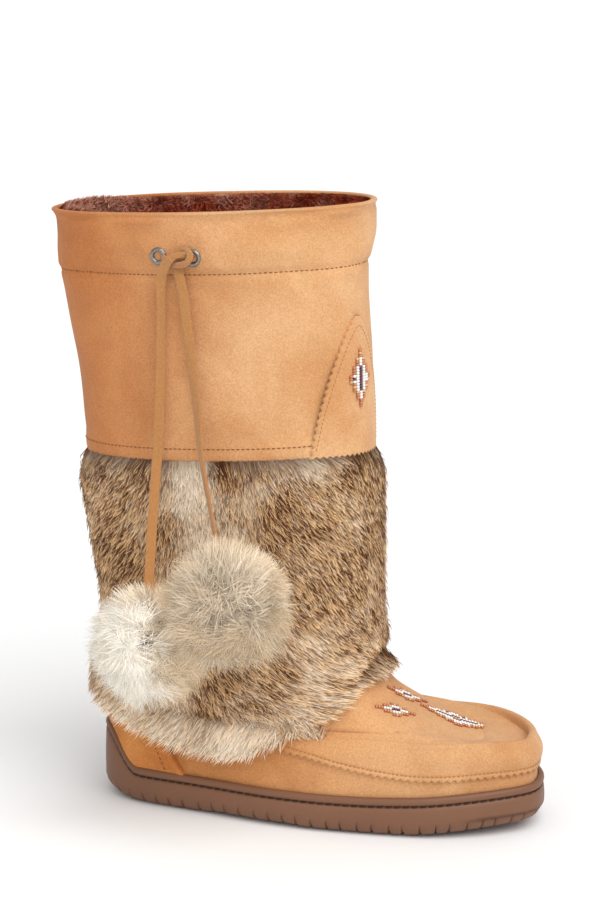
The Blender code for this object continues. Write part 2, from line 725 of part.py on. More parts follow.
def vamp(finish, collection):
    """Leather wrapped round the toe and the sides of the foot, with a pinked lower edge."""
    step = 360 / COLUMNS
    count = int((VAMP_END - step / 2) / step)
    turn = np.radians([-VAMP_END, *(np.arange(-count, count + 1) * step), VAMP_END])
    rows = np.array(PINKED_EDGE)
    edge = TOE_HEIGHT * through(rows[:, 0], rows[:, 1], np.abs(np.degrees(turn)))
    low = level_at(edge, turn)
    levels = [low]
    above = [level for level in FOOT_LEVELS if low.min() < level <= VAMP_TOP]
    for k, level in enumerate(above):
        levels.append(np.maximum(level, low + 0.03 * (k + 1)))
    outer, inner = overlay(np.stack(levels), turn)
    return add("vamp", panel(outer, inner, ("low",)), finish, collection)


def heel_counter(finish, collection):
    """Leather patch round the heel, above the sole's cup and up under the fur."""
    turn = np.radians(np.arange(COUNTER_START, 360 - COUNTER_START + 1, 360 / COLUMNS))
    wrapped = (turn + math.pi) % (2 * math.pi) - math.pi
    low = level_at(rim_height(turn) + 0.0022, turn)
    high = level_at(hem_height(wrapped) + HEM_TUCK, turn)
    share = np.linspace(0.0, 1.0, 5)[:, None]
    outer, inner = overlay(low + (high - low) * share, turn)
    return add("heel_counter", panel(outer, inner, ()), finish, collection)


def front_tab(finish, collection):
    """Arched leather tab on the front of the leg, sewn on, its foot hanging over the fur."""
    middle = np.radians(TAB_TURN)
    rows = np.array(TAB)
    base = body(seam_level(middle), middle)[2] - TAB_OVERHANG
    turn = middle + math.radians(TAB_SPREAD) * rows[:, 1, None] * np.linspace(-1.0, 1.0, 7)
    level = level_at(base + TAB_HEIGHT * rows[:, 0, None] + 0.0 * turn, turn)
    outer, inner = overlay(level, turn)
    return add("front_tab", panel(outer, inner, ("low", "left", "right")), finish, collection)


def ribbon(points, facing):
    """Flat woven cord along a path, its broad side turned to facing."""
    bm = bmesh.new()
    section = [(1, 0), (0.8, 1), (-0.8, 1), (-1, 0), (-0.8, -1), (0.8, -1)]
    rows = []
    for k, point in enumerate(points):
        along = (points[min(k + 1, len(points) - 1)] - points[max(k - 1, 0)]).normalized()
        across = along.cross(facing).normalized()
        out = across.cross(along)
        rows.append([
            bm.verts.new(point + across * w * CORD_WIDTH / 2 + out * d * CORD_THICKNESS / 2)
            for w, d in section
        ])
    grid_faces(bm, rows, closed=True)
    bm.faces.new(rows[0])
    bm.faces.new(rows[-1])
    return bm


def hanging_end(name, table, finish, collection):
    rows = np.array(table)
    stations = np.concatenate([[0.0], np.cumsum(np.linalg.norm(np.diff(rows, axis=0), axis=1))])
    count = 3 + int(stations[-1] / (2.2 * CORD_WIDTH))
    at = np.linspace(0.0, stations[-1], count)
    points = [Vector(p) for p in np.stack([through(stations, rows[:, k], at) for k in range(3)], -1)]
    return add(name, ribbon(points, Vector((0.0, -1.0, 0.0))), finish, collection)


def drawstring_knot(finish, collection, cutters):
    """The drawstring between its two eyelets: each side comes out and they cross in one knot."""
    rear, front = (strand_to_knot(degrees, side) for degrees, side in zip(EYELET_TURNS, (-1, 1)))
    made = add("drawstring_knot", rear, finish, collection)
    cut(made, add("front_strand", front, finish, cutters), "UNION")
    bm = bmesh.new()
    bmesh.ops.create_uvsphere(bm, u_segments=12, v_segments=8, radius=1.0)
    shape = Matrix.Diagonal((0.0052, 0.0030, 0.0046, 1.0))
    bmesh.ops.transform(bm, matrix=Matrix.Translation(KNOT) @ shape, verts=bm.verts[:])
    cut(made, add("crossing", bm, finish, cutters), "UNION")
    return made


def strand_to_knot(degrees, side):
    """The short run of cord from an eyelet to the crossing."""
    centre, out = eyelet_seat(degrees)
    start = centre + out * 0.0024
    middle = (start + KNOT) / 2 + out * 0.001
    end = KNOT + Vector((-side * 0.002, 0.0, -0.001))
    return ribbon([start, middle, end], out)


def pompom(name, centre, finish, collection):
    """Ball of fur, its surface a little uneven."""
    bm = bmesh.new()
    bmesh.ops.create_icosphere(bm, subdivisions=3, radius=POMPOM_RADIUS)
    for vert in bm.verts:
        direction = vert.co.normalized()
        x, y, z = direction
        waves = math.sin(9 * x + 2) * math.sin(9 * y) * math.sin(9 * z + 1)
        vert.co = direction * POMPOM_RADIUS * (1.0 + 0.03 * waves)
    bmesh.ops.translate(bm, vec=centre, verts=bm.verts[:])
    return add(name, bm, finish, collection)


def main():
    for old in list(bpy.data.objects):
        bpy.data.objects.remove(old)
    boot = bpy.data.collections.new("mukluk_boot")
    bpy.context.scene.collection.children.link(boot)
    cutters = bpy.data.collections.new("cutters")
    bpy.context.scene.collection.children.link(cutters)
    rubber = material("sole_rubber", (0.13, 0.07, 0.05), 0.55)
    suede = material("suede", (0.62, 0.35, 0.16), 0.95)
    fleece = material("fleece", (0.30, 0.14, 0.11), 1.0)
    pelt = material("fur", (0.42, 0.30, 0.20), 1.0)
    silver = material("antique_silver", (0.55, 0.53, 0.48), 0.35, 1.0)
    cord = material("drawstring", (0.60, 0.38, 0.19), 0.95)
    pompom_fur = material("pompom_fur", (0.62, 0.52, 0.41), 1.0)
    outsole(rubber, boot, cutters)
    insole(fleece, boot)
    upper(suede, boot, cutters)
    vamp(suede, boot)
    heel_counter(suede, boot)
    front_tab(suede, boot)
    fur_band(pelt, boot)
    for name, degrees in zip(("eyelet_rear", "eyelet_front"), EYELET_TURNS):
        eyelet(name, degrees, silver, boot)
    drawstring_knot(cord, boot, cutters)
    hanging_end("drawstring_rear", REAR_END, cord, boot)
    hanging_end("drawstring_front", FRONT_END, cord, boot)
    for name, centre in POMPOMS.items():
        pompom(name, centre, pompom_fur, boot)


main()
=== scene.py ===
"""Mukluk boot for the right foot, seen from its outer side, standing empty on its sole."""

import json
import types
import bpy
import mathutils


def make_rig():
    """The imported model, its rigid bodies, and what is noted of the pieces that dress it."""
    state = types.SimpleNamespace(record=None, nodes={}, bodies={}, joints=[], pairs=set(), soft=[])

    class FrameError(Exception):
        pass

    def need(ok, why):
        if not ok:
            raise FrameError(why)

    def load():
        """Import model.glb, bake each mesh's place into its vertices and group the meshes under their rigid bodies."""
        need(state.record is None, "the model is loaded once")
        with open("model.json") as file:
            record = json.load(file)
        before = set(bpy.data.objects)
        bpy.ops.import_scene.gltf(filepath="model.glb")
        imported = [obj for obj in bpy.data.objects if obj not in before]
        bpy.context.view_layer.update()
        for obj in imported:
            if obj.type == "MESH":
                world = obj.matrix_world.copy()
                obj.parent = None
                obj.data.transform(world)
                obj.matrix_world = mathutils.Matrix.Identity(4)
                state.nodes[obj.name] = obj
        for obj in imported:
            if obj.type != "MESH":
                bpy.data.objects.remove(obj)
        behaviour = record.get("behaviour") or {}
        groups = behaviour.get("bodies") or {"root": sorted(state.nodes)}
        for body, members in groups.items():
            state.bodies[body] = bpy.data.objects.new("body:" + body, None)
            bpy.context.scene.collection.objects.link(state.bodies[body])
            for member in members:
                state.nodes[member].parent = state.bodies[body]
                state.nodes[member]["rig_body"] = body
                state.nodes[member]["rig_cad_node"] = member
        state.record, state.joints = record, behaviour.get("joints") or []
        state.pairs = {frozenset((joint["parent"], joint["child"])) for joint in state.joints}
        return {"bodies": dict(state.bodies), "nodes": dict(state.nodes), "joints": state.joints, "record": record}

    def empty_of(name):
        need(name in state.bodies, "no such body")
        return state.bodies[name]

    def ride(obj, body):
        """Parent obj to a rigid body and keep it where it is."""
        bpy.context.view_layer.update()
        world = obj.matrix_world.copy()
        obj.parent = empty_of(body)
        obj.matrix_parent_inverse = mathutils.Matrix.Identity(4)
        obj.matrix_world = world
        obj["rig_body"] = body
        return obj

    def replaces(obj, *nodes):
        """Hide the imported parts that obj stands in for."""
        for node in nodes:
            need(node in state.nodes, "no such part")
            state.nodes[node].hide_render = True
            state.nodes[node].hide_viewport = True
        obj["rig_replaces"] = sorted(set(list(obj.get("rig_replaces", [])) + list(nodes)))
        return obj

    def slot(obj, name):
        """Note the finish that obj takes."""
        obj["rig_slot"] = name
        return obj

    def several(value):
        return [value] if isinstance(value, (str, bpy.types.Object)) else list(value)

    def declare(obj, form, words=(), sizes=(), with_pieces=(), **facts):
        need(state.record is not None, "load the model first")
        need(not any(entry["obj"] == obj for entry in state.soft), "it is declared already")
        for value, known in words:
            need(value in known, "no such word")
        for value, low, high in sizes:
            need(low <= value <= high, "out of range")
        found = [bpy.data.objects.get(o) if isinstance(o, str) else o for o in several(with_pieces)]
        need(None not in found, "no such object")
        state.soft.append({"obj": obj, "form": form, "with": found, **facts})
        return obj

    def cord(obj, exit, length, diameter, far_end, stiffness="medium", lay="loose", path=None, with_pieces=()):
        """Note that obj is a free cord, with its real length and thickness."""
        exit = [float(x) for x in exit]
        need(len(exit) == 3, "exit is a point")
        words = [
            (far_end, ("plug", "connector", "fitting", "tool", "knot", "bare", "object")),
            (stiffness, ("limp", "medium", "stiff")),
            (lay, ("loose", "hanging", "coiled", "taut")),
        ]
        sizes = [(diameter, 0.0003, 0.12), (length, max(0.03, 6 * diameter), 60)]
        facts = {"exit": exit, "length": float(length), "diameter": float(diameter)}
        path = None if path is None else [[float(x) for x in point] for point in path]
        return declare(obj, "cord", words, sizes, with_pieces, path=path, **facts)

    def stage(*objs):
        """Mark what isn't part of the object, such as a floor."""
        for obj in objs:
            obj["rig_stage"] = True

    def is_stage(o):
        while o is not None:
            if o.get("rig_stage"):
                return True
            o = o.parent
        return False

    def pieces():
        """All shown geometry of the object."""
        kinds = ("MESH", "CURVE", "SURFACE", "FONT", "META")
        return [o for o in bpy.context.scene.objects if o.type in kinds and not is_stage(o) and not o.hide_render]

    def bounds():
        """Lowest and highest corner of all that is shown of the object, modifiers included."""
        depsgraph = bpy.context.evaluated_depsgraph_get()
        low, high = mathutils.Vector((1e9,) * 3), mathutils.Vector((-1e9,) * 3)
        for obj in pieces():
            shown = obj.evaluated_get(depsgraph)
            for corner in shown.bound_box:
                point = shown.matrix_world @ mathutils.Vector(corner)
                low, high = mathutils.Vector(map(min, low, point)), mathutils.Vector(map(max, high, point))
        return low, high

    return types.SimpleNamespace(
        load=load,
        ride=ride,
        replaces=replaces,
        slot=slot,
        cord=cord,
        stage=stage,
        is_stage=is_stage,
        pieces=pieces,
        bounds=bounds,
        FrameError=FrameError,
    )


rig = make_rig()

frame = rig.load()

import json
import math

import bpy
import numpy as np
from mathutils import Vector
from mathutils.bvhtree import BVHTree

cad_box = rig.bounds()

# The camera looks at the boot's outer side from a little ahead and a little above. The floor is
# plain and pale, under a bright even sky, a wide soft sun and a weak fill from in front.
VIEW_TURN, VIEW_RISE, VIEW_DISTANCE = math.radians(17.0), math.radians(12.5), 1.75
scene = bpy.context.scene
scene.view_settings.view_transform = "Standard"
aim = Vector((0.0775, 0.0048, 0.2205))
back = Vector((
    math.sin(VIEW_TURN) * math.cos(VIEW_RISE),
    -math.cos(VIEW_TURN) * math.cos(VIEW_RISE),
    math.sin(VIEW_RISE),
))
lens = bpy.data.cameras.new("camera")
lens.sensor_width = 36.0
lens.lens = 116.72
camera = bpy.data.objects.new("camera", lens)
camera.location = aim + VIEW_DISTANCE * back
camera.rotation_euler = back.to_track_quat("Z", "Y").to_euler()
scene.collection.objects.link(camera)
scene.camera = camera


def build_nodes(finish, steps, feeds):
    """Shader nodes from rows of name, kind, settings and inputs. An input may name a row before it,
    and feeds names the row and output that each socket of the surface takes."""
    tree = finish.node_tree
    made = {}
    for name, kind, settings, inputs in steps:
        node = tree.nodes.new("ShaderNode" + kind)
        made[name] = node
        for key, value in settings.items():
            setattr(node, key, value)
        for key, value in inputs.items():
            if isinstance(value, tuple) and isinstance(value[0], str):
                tree.links.new(made[value[0]].outputs[value[1]], node.inputs[key])
            else:
                node.inputs[key].default_value = value
    surface_inputs = tree.nodes["Principled BSDF"].inputs
    for socket, (name, output) in feeds.items():
        tree.links.new(made[name].outputs[output], surface_inputs[socket])


def new_finish(name, roughness, **sockets):
    """Material with these values on the sockets of its surface."""
    finish = bpy.data.materials.new(name)
    finish.use_nodes = True
    inputs = finish.node_tree.nodes["Principled BSDF"].inputs
    inputs["Roughness"].default_value = roughness
    for key, value in sockets.items():
        inputs[key.replace("_", " ")].default_value = value
    return finish


floor_finish = new_finish("floor_white", 0.9, Base_Color=(0.93, 0.93, 0.93, 1.0))
bpy.ops.mesh.primitive_plane_add(size=60.0)
floor = bpy.context.object
floor.name = "floor"
floor.data.materials.append(floor_finish)
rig.stage(floor)
world = bpy.data.worlds.new("studio")
world.use_nodes = True
world.node_tree.nodes["Background"].inputs["Color"].default_value = (1.0, 1.0, 1.0, 1.0)
world.node_tree.nodes["Background"].inputs["Strength"].default_value = 0.66
scene.world = world
sun = bpy.data.lights.new("key_light", "SUN")
sun.energy, sun.angle = 2.0, math.radians(46.0)
sun_holder = bpy.data.objects.new("key_light", sun)
SUN_FROM = Vector((0.74, -0.70, 1.25))
sun_holder.rotation_euler = SUN_FROM.to_track_quat("Z", "Y").to_euler()
scene.collection.objects.link(sun_holder)
fill = bpy.data.lights.new("fill_light", "AREA")
fill.shape, fill.size, fill.energy = "SQUARE", 1.2, 4.0
fill_holder = bpy.data.objects.new("fill_light", fill)
fill_holder.location = (0.3, -1.9, 0.9)
fill_holder.rotation_euler = (fill_holder.location - aim).to_track_quat("Z", "Y").to_euler()
scene.collection.objects.link(fill_holder)

# The leather's outer surface, as the last and the leg give it. Turn goes round from the toe,
# towards the inner side of the foot, and level counts the rings from the sole up to the collar.
OUTSOLE_LENGTH, HEEL_BACK = 0.275, 0.045
HEEL_WIDTH, BALL_WIDTH = 0.080, 0.104
SOLE_HEIGHT, SOLE_FLOOR, HEEL_CUP_RISE = 0.0255, 0.0125, 0.024
TOE_SPRING, SPRING_FROM = 0.006, 0.150
HEEL_SPRING, HEEL_FLAT, BALL_FLAT_FROM, ARCH_LIFT = 0.003, 0.044, 0.100, 0.001
CUP_WALL, GAP, WALL = 0.0040, 0.0003, 0.002
TOE_HEIGHT, TOE_ROLL, INSTEP_HEIGHT = 0.0470, 0.012, 0.092
ANKLE_HEIGHT, ANKLE_FRONT, ANKLE_DEPTH, ANKLE_WIDTH = 0.117, 0.1235, 0.162, 0.090
BOOT_HEIGHT, TOP_DEPTH, TOP_WIDTH = 0.369, 0.197, 0.102
LEG_LEAN, LEG_TILT, LEG_SQUARENESS, OUTLINE_SQUARENESS = 0.0172, 0.055, 2.15, 2.5
FUR_STEP, STEP_FROM, STEP_OVER, FUR_TOP = 0.0020, 3.5, 4.0, 0.224
SIDE_BASE, BACK_BASE, TILT_BY = 0.64, 0.80, 0.36
NUDGE = 0.02  # step in level and in turn over which a direction is measured
OUTLINE = np.array([
    (0.00, 0.600, 0.620), (0.10, 0.570, 0.580), (0.20, 0.540, 0.540), (0.30, 0.532, 0.488),
    (0.40, 0.530, 0.443), (0.50, 0.509, 0.429), (0.60, 0.481, 0.467), (0.70, 0.471, 0.541),
    (0.80, 0.469, 0.601), (0.90, 0.429, 0.636), (1.00, 0.362, 0.606),
])
FOOT_WALL = [
    (0.00, 0.00, 0.00, 0.00, 0.00, 0.00), (0.00, 0.00, 0.00, 0.24, 0.14, 0.14),
    (0.00, 0.00, 0.00, 0.40, 0.25, 0.30), (0.04, 0.03, 0.00, 0.65, 0.37, 0.46),
    (-0.02, 0.10, 0.00, 0.90, 0.48, 0.60), (0.36, 0.30, 0.00, 1.06, 0.55, 0.72),
    (0.95, 0.55, 0.00, 0.96, 0.59, 0.82),
]
INSTEP = [
    (0.66, 0.09, 0.11, 0.30, 0.75, 1.55), (0.36, 0.24, 0.29, 0.47, 0.50, 1.50),
    (0.13, 0.45, 0.51, 0.62, 0.28, 1.30), (0.02, 0.74, 0.77, 0.80, 0.10, 1.10),
]
LEG = [
    (0.00, 0.00, 0.00), (0.17, 0.13, 0.18), (0.36, 0.33, 0.40), (0.60, 0.54, 0.68),
    (0.81, 0.73, 0.90), (0.90, 0.86, 0.97), (0.97, 0.98, 1.00), (1.00, 1.00, 1.00),
]
FIRST_INSTEP = len(FOOT_WALL)
ANKLE_LEVEL = FIRST_INSTEP + len(INSTEP)
RIM_LEVEL = ANKLE_LEVEL + len(LEG) - 1


def smooth(share):
    share = np.clip(share, 0.0, 1.0)
    return share * share * (3.0 - 2.0 * share)


def centred(turn):
    """Turn brought between half a turn back and half a turn on."""
    return (turn + math.pi) % (2 * math.pi) - math.pi


def through(stations, values, at):
    """Smooth curve through the rows of a table."""
    stations, values = np.asarray(stations, float), np.asarray(values, float)
    slopes = np.gradient(values, stations)
    i = np.clip(np.searchsorted(stations, at) - 1, 0, len(stations) - 2)
    step = stations[i + 1] - stations[i]
    t = np.clip((at - stations[i]) / step, 0.0, 1.0)
    rise = values[i + 1] - values[i]
    start, end = slopes[i] * step, slopes[i + 1] * step
    curve = 3 * rise - 2 * start - end + t * (start + end - 2 * rise)
    return values[i] + t * (start + t * curve)


def around(turn, squareness):
    c, s = np.cos(turn), np.sin(turn)
    power = 2.0 / squareness
    return np.sign(c) * np.abs(c) ** power, np.sign(s) * np.abs(s) ** power


def half_width(share, sideways):
    local = HEEL_WIDTH + (BALL_WIDTH - HEEL_WIDTH) * smooth((share - 0.2) / 0.45)
    lateral = through(OUTLINE[:, 0], OUTLINE[:, 1], share)
    medial = through(OUTLINE[:, 0], OUTLINE[:, 2], share)
    return local * np.where(sideways < 0, lateral, medial)


def sole_edge(turn):
    forward, sideways = around(turn, OUTLINE_SQUARENESS)
    share = (forward + 1.0) / 2.0
    return OUTSOLE_LENGTH * share - HEEL_BACK, half_width(share, sideways) * sideways


def outline(turn, inset):
    """The sole's outline in plan, moved inwards by inset."""
    turn = np.asarray(turn, float)
    x, y = sole_edge(turn)
    ahead, behind = sole_edge(turn + NUDGE), sole_edge(turn - NUDGE)
    along_x, along_y = ahead[0] - behind[0], ahead[1] - behind[1]
    length = np.hypot(along_x, along_y)
    return x - inset * along_y / length, y + inset * along_x / length


def toe_lift(x):
    return TOE_SPRING * smooth((x - SPRING_FROM) / (OUTSOLE_LENGTH - HEEL_BACK - SPRING_FROM))


def bed_height(x):
    return SOLE_FLOOR + 0.5 * toe_lift(x)


def level_ring(level, turn):
    """One ring of the leather's surface, from the feather edge up."""
    ends = np.cos(turn) ** 2
    front, rear = np.where(np.cos(turn) > 0, ends, 0.0), np.where(np.cos(turn) < 0, ends, 0.0)
    side = 1.0 - ends
    if level < FIRST_INSTEP:
        row = FOOT_WALL[level]
        roll = front * row[0] + side * row[1] + rear * row[2]
        x, y = outline(turn, CUP_WALL + GAP + TOE_ROLL * roll)
        rise = (side * row[4] + rear * row[5]) * (INSTEP_HEIGHT - SOLE_FLOOR)
        z = bed_height(x) + GAP + front * row[3] * (TOE_HEIGHT - SOLE_FLOOR) + rise
        return np.stack([x, y, z], -1)
    if level < ANKLE_LEVEL:
        reach, front_rise, side_rise, back_rise, foot, gather = INSTEP[level - FIRST_INSTEP]
        toe_edge = OUTSOLE_LENGTH - HEEL_BACK - CUP_WALL - TOE_ROLL
        ankle_back, foot_back = ANKLE_FRONT - ANKLE_DEPTH, CUP_WALL + GAP - HEEL_BACK
        front_x = ANKLE_FRONT + reach * (toe_edge - ANKLE_FRONT)
        back_x = ankle_back + foot * (foot_back - ankle_back)
        wrapped = centred(turn)
        share = np.minimum(np.abs(wrapped) * 2 / math.pi, 1.0)
        turn = np.where(np.cos(turn) > 0, np.sign(wrapped) * math.pi / 2 * share**gather, turn)
        ends = np.cos(turn) ** 2
        front, side = np.where(np.cos(turn) > 0, ends, 0.0), 1.0 - ends
        squareness = LEG_SQUARENESS + foot * (OUTLINE_SQUARENESS - LEG_SQUARENESS)
        forward, sideways = around(turn, squareness)
        x = back_x + (forward + 1.0) / 2.0 * (front_x - back_x)
        foot_half = half_width((x + HEEL_BACK) / OUTSOLE_LENGTH, sideways)
        foot_half = foot_half - CUP_WALL - 0.5 * TOE_ROLL
        half = ANKLE_WIDTH / 2 + foot * (foot_half - ANKLE_WIDTH / 2)
        z = 0.0
        for weight, base, rise in (
            (front, TOE_HEIGHT, front_rise),
            (side, SIDE_BASE * INSTEP_HEIGHT, side_rise),
            (rear, BACK_BASE * INSTEP_HEIGHT, back_rise),
        ):
            z = z + weight * (base + (ANKLE_HEIGHT - base) * rise)
        return np.stack([x, half * sideways, z], -1)
    rise, flare, lean = LEG[level - ANKLE_LEVEL]
    depth = ANKLE_DEPTH + flare * (TOP_DEPTH - ANKLE_DEPTH)
    width = ANKLE_WIDTH + flare * (TOP_WIDTH - ANKLE_WIDTH)
    middle = ANKLE_FRONT - ANKLE_DEPTH / 2 - LEG_LEAN * lean
    forward, sideways = around(turn, LEG_SQUARENESS)
    x = middle + forward * depth / 2
    tilt = LEG_TILT * smooth(rise / TILT_BY) * (x - middle)
    z = ANKLE_HEIGHT + rise * (BOOT_HEIGHT - ANKLE_HEIGHT) + tilt
    return np.stack([x, sideways * width / 2, z], -1)


def body(level, turn):
    """Point of the leather's outer surface."""
    level, turn = np.broadcast_arrays(np.asarray(level, float), np.asarray(turn, float))
    k = np.clip(np.floor(level).astype(int), 0, RIM_LEVEL - 1)
    first, last = max(k.min() - 1, 0), min(k.max() + 2, RIM_LEVEL)
    rings = np.stack([level_ring(n, turn) for n in range(first, last + 1)])
    chords = np.linalg.norm(np.diff(rings, axis=0), axis=-1, keepdims=True)
    slopes = np.diff(rings, axis=0) / chords
    inner = (slopes[:-1] * chords[1:] + slopes[1:] * chords[:-1]) / (chords[:-1] + chords[1:])
    tangents = np.concatenate([slopes[:1], inner, slopes[-1:]])
    t = (level - k)[..., None]
    k = k - first

    def pick(values, index):
        return np.take_along_axis(values, index[None, ..., None], 0)[0]

    low, high, chord = pick(rings, k), pick(rings, k + 1), pick(chords, k)
    start, end = pick(tangents, k) * chord, pick(tangents, k + 1) * chord
    rise = high - low
    curve = 3 * rise - 2 * start - end + t * (start + end - 2 * rise)
    return low + t * (start + t * curve)


def facing(level, turn):
    """Outward normal of the leather's surface."""
    level, turn = np.broadcast_arrays(np.asarray(level, float), np.asarray(turn, float))
    above, below = np.clip(level + NUDGE, 0, RIM_LEVEL), np.clip(level - NUDGE, 0, RIM_LEVEL)
    up = body(above, turn) - body(below, turn)
    along = body(level, turn + NUDGE) - body(level, turn - NUDGE)
    normal = np.cross(along, up)
    return normal / np.linalg.norm(normal, axis=-1, keepdims=True)


def surface(level, turn, offset=0.0):
    return body(level, turn) + facing(level, turn) * np.asarray(offset, float)[..., None]


def level_at(height, turn):
    """The level at which the surface reaches a height, by halving."""
    turn = np.asarray(turn, float)
    low, high = np.zeros_like(turn), np.full_like(turn, float(RIM_LEVEL))
    for _ in range(18):
        middle = (low + high) / 2
        under = body(middle, turn)[..., 2] < height
        low, high = np.where(under, middle, low), np.where(under, high, middle)
    return (low + high) / 2


def seam_level(turn):
    """The lower edge of the leg panel, where the fur band starts."""
    x = body(ANKLE_LEVEL + 2.0, turn)[..., 0]
    return level_at(FUR_TOP + LEG_TILT * (x - (ANKLE_FRONT - ANKLE_DEPTH / 2)), turn)


def set_back(level):
    """How far the wall lies deeper above the foot, where the fur band goes round it."""
    return FUR_STEP * smooth((level - STEP_FROM) / STEP_OVER)


# The drawstring: a flat woven cotton cord. It leaves the casing by two metal eyelets, one end is
# tied once round the other, and both hang down the outer side of the leg to the fur pompoms.
CORD_WIDTH, CORD_THICKNESS, CORD_SQUARENESS = 0.0060, 0.0016, 3.2
CORD_STEPS, CORD_SIDES, CORD_EASING = 150, 20, 5
TIE_FADE, TIE_NARROWER, TIE_THICKER = 0.012, 0.36, 0.75
REAR_HANGING = [
    (0.0306, -0.0478, 0.3436), (0.0307, -0.0513, 0.3441), (0.0292, -0.0542, 0.3444),
    (0.0269, -0.0562, 0.3449), (0.0241, -0.0578, 0.3456), (0.0210, -0.0586, 0.3447),
    (0.0176, -0.0584, 0.3419), (0.0145, -0.0576, 0.3378), (0.0124, -0.0566, 0.3323),
    (0.0116, -0.0556, 0.3257), (0.0115, -0.0549, 0.3180),
    (0.0108, -0.0541, 0.2960), (0.0102, -0.0540, 0.2700), (0.0094, -0.0543, 0.2480),
    (0.0085, -0.0550, 0.2290), (0.0079, -0.0586, 0.2090), (0.0082, -0.0640, 0.1900),
    (0.0096, -0.0727, 0.1690), (0.0113, -0.0815, 0.1488),
]
FRONT_HANGING = [
    (0.0085, -0.0472, 0.3425), (0.0113, -0.0510, 0.3426), (0.0147, -0.0530, 0.3413),
    (0.0189, -0.0546, 0.3393), (0.0243, -0.0576, 0.3392), (0.0293, -0.0596, 0.3411),
    (0.0315, -0.0592, 0.3447), (0.0294, -0.0568, 0.3474), (0.0255, -0.0539, 0.3477),
    (0.0225, -0.0531, 0.3451), (0.0215, -0.0530, 0.3410), (0.0218, -0.0542, 0.3371),
    (0.0230, -0.0554, 0.3327), (0.0243, -0.0554, 0.3263), (0.0257, -0.0551, 0.3187),
    (0.0263, -0.0549, 0.3117),
    (0.0280, -0.0545, 0.2960), (0.0307, -0.0545, 0.2750), (0.0333, -0.0556, 0.2520),
    (0.0358, -0.0575, 0.2310), (0.0396, -0.0622, 0.2170), (0.0445, -0.0690, 0.2050),
    (0.0510, -0.0800, 0.1926), (0.0584, -0.0932, 0.1801),
]


def mesh_piece(name, points, faces, finish, tint=None, run=None, shading=None):
    """Object from arrays of points and of equal-sided faces, with colours, a run along a weave or
    the directions that its points are shaded in."""
    points, faces = np.asarray(points, float).reshape(-1, 3), np.asarray(faces)
    mesh = bpy.data.meshes.new(name)
    mesh.vertices.add(len(points))
    mesh.vertices.foreach_set("co", points.astype(np.float32).ravel())
    mesh.loops.add(faces.size)
    mesh.loops.foreach_set("vertex_index", faces.astype(np.int32).ravel())
    mesh.polygons.add(len(faces))
    starts = np.arange(0, faces.size, faces.shape[1], dtype=np.int32)
    mesh.polygons.foreach_set("loop_start", starts)
    mesh.update(calc_edges=True)
    mesh.validate()
    mesh.shade_smooth()
    if tint is not None:
        colours = np.concatenate([tint.reshape(-1, 3), np.ones((len(points), 1))], 1)
        mesh.attributes.new("tint", "FLOAT_COLOR", "POINT").data.foreach_set(
            "color", colours.astype(np.float32).ravel()
        )
    if run is not None:
        mesh.attributes.new("run", "FLOAT_VECTOR", "POINT").data.foreach_set(
            "vector", run.astype(np.float32).ravel()
        )
    if shading is not None:
        mesh.normals_split_custom_set_from_vertices(shading.reshape(-1, 3).astype(np.float32))
    mesh.materials.append(finish)
    made = bpy.data.objects.new(name, mesh)
    scene.collection.objects.link(made)
    return made


def grid_faces(rows, columns, closed):
    """Four-sided faces over a grid of points, whose columns may close in a ring."""
    gaps = columns if closed else columns - 1
    r, c = np.meshgrid(np.arange(rows - 1), np.arange(gaps), indexing="ij")
    d = (c + 1) % columns
    low, high = r * columns, (r + 1) * columns
    return np.stack([low + c, low + d, high + d, high + c], -1).reshape(-1, 4)


def grid_piece(name, grid, finish, closed=False, tint=None):
    grid = np.asarray(grid)
    return mesh_piece(name, grid, grid_faces(grid.shape[0], grid.shape[1], closed), finish, tint)


def flat_cord(name, rows, tied, twist, finish):
    """Flat woven cord along a path, drawn together over the tied length from its start. Twist, in
    degrees by share of its length, turns its broad side."""
    rows = np.array(rows)
    stations = np.concatenate([[0.0], np.cumsum(np.linalg.norm(np.diff(rows, axis=0), axis=1))])
    at = np.linspace(0.0, stations[-1], CORD_STEPS)
    path = np.stack([through(stations, rows[:, k], at) for k in range(3)], -1)
    for _ in range(CORD_EASING):
        path[1:-1] = 0.25 * path[:-2] + 0.5 * path[1:-1] + 0.25 * path[2:]
    angle = np.radians(through(*zip(*twist), at / stations[-1]))
    along = np.gradient(path, axis=0)
    along /= np.linalg.norm(along, axis=1, keepdims=True)
    across = np.cross(along, (0.0, -1.0, 0.0))
    across /= np.linalg.norm(across, axis=1, keepdims=True)
    out = np.cross(across, along)
    broad = across * np.cos(angle)[:, None] + out * np.sin(angle)[:, None]
    thin = out * np.cos(angle)[:, None] - across * np.sin(angle)[:, None]
    loop = np.linspace(0, 2 * math.pi, CORD_SIDES, endpoint=False)
    side, depth = around(loop, CORD_SQUARENESS)
    bunched = 1.0 - smooth((at - tied) / TIE_FADE)[:, None, None]
    flat = broad[:, None] * (side * CORD_WIDTH / 2)[None, :, None]
    deep = thin[:, None] * (depth * CORD_THICKNESS / 2)[None, :, None]
    section = flat * (1.0 - TIE_NARROWER * bunched) + deep * (1.0 + TIE_THICKER * bunched)
    points = path[:, None] + section
    run = np.stack(np.broadcast_arrays(at[:, None], side[None] * CORD_WIDTH / 2, 0.0), -1)
    faces = grid_faces(len(at), len(loop), True)
    piece = mesh_piece(name, points, faces[:, ::-1], finish, None, run.reshape(-1, 3))
    length = float(np.linalg.norm(np.diff(path, axis=0), axis=1).sum())
    return piece, path, length


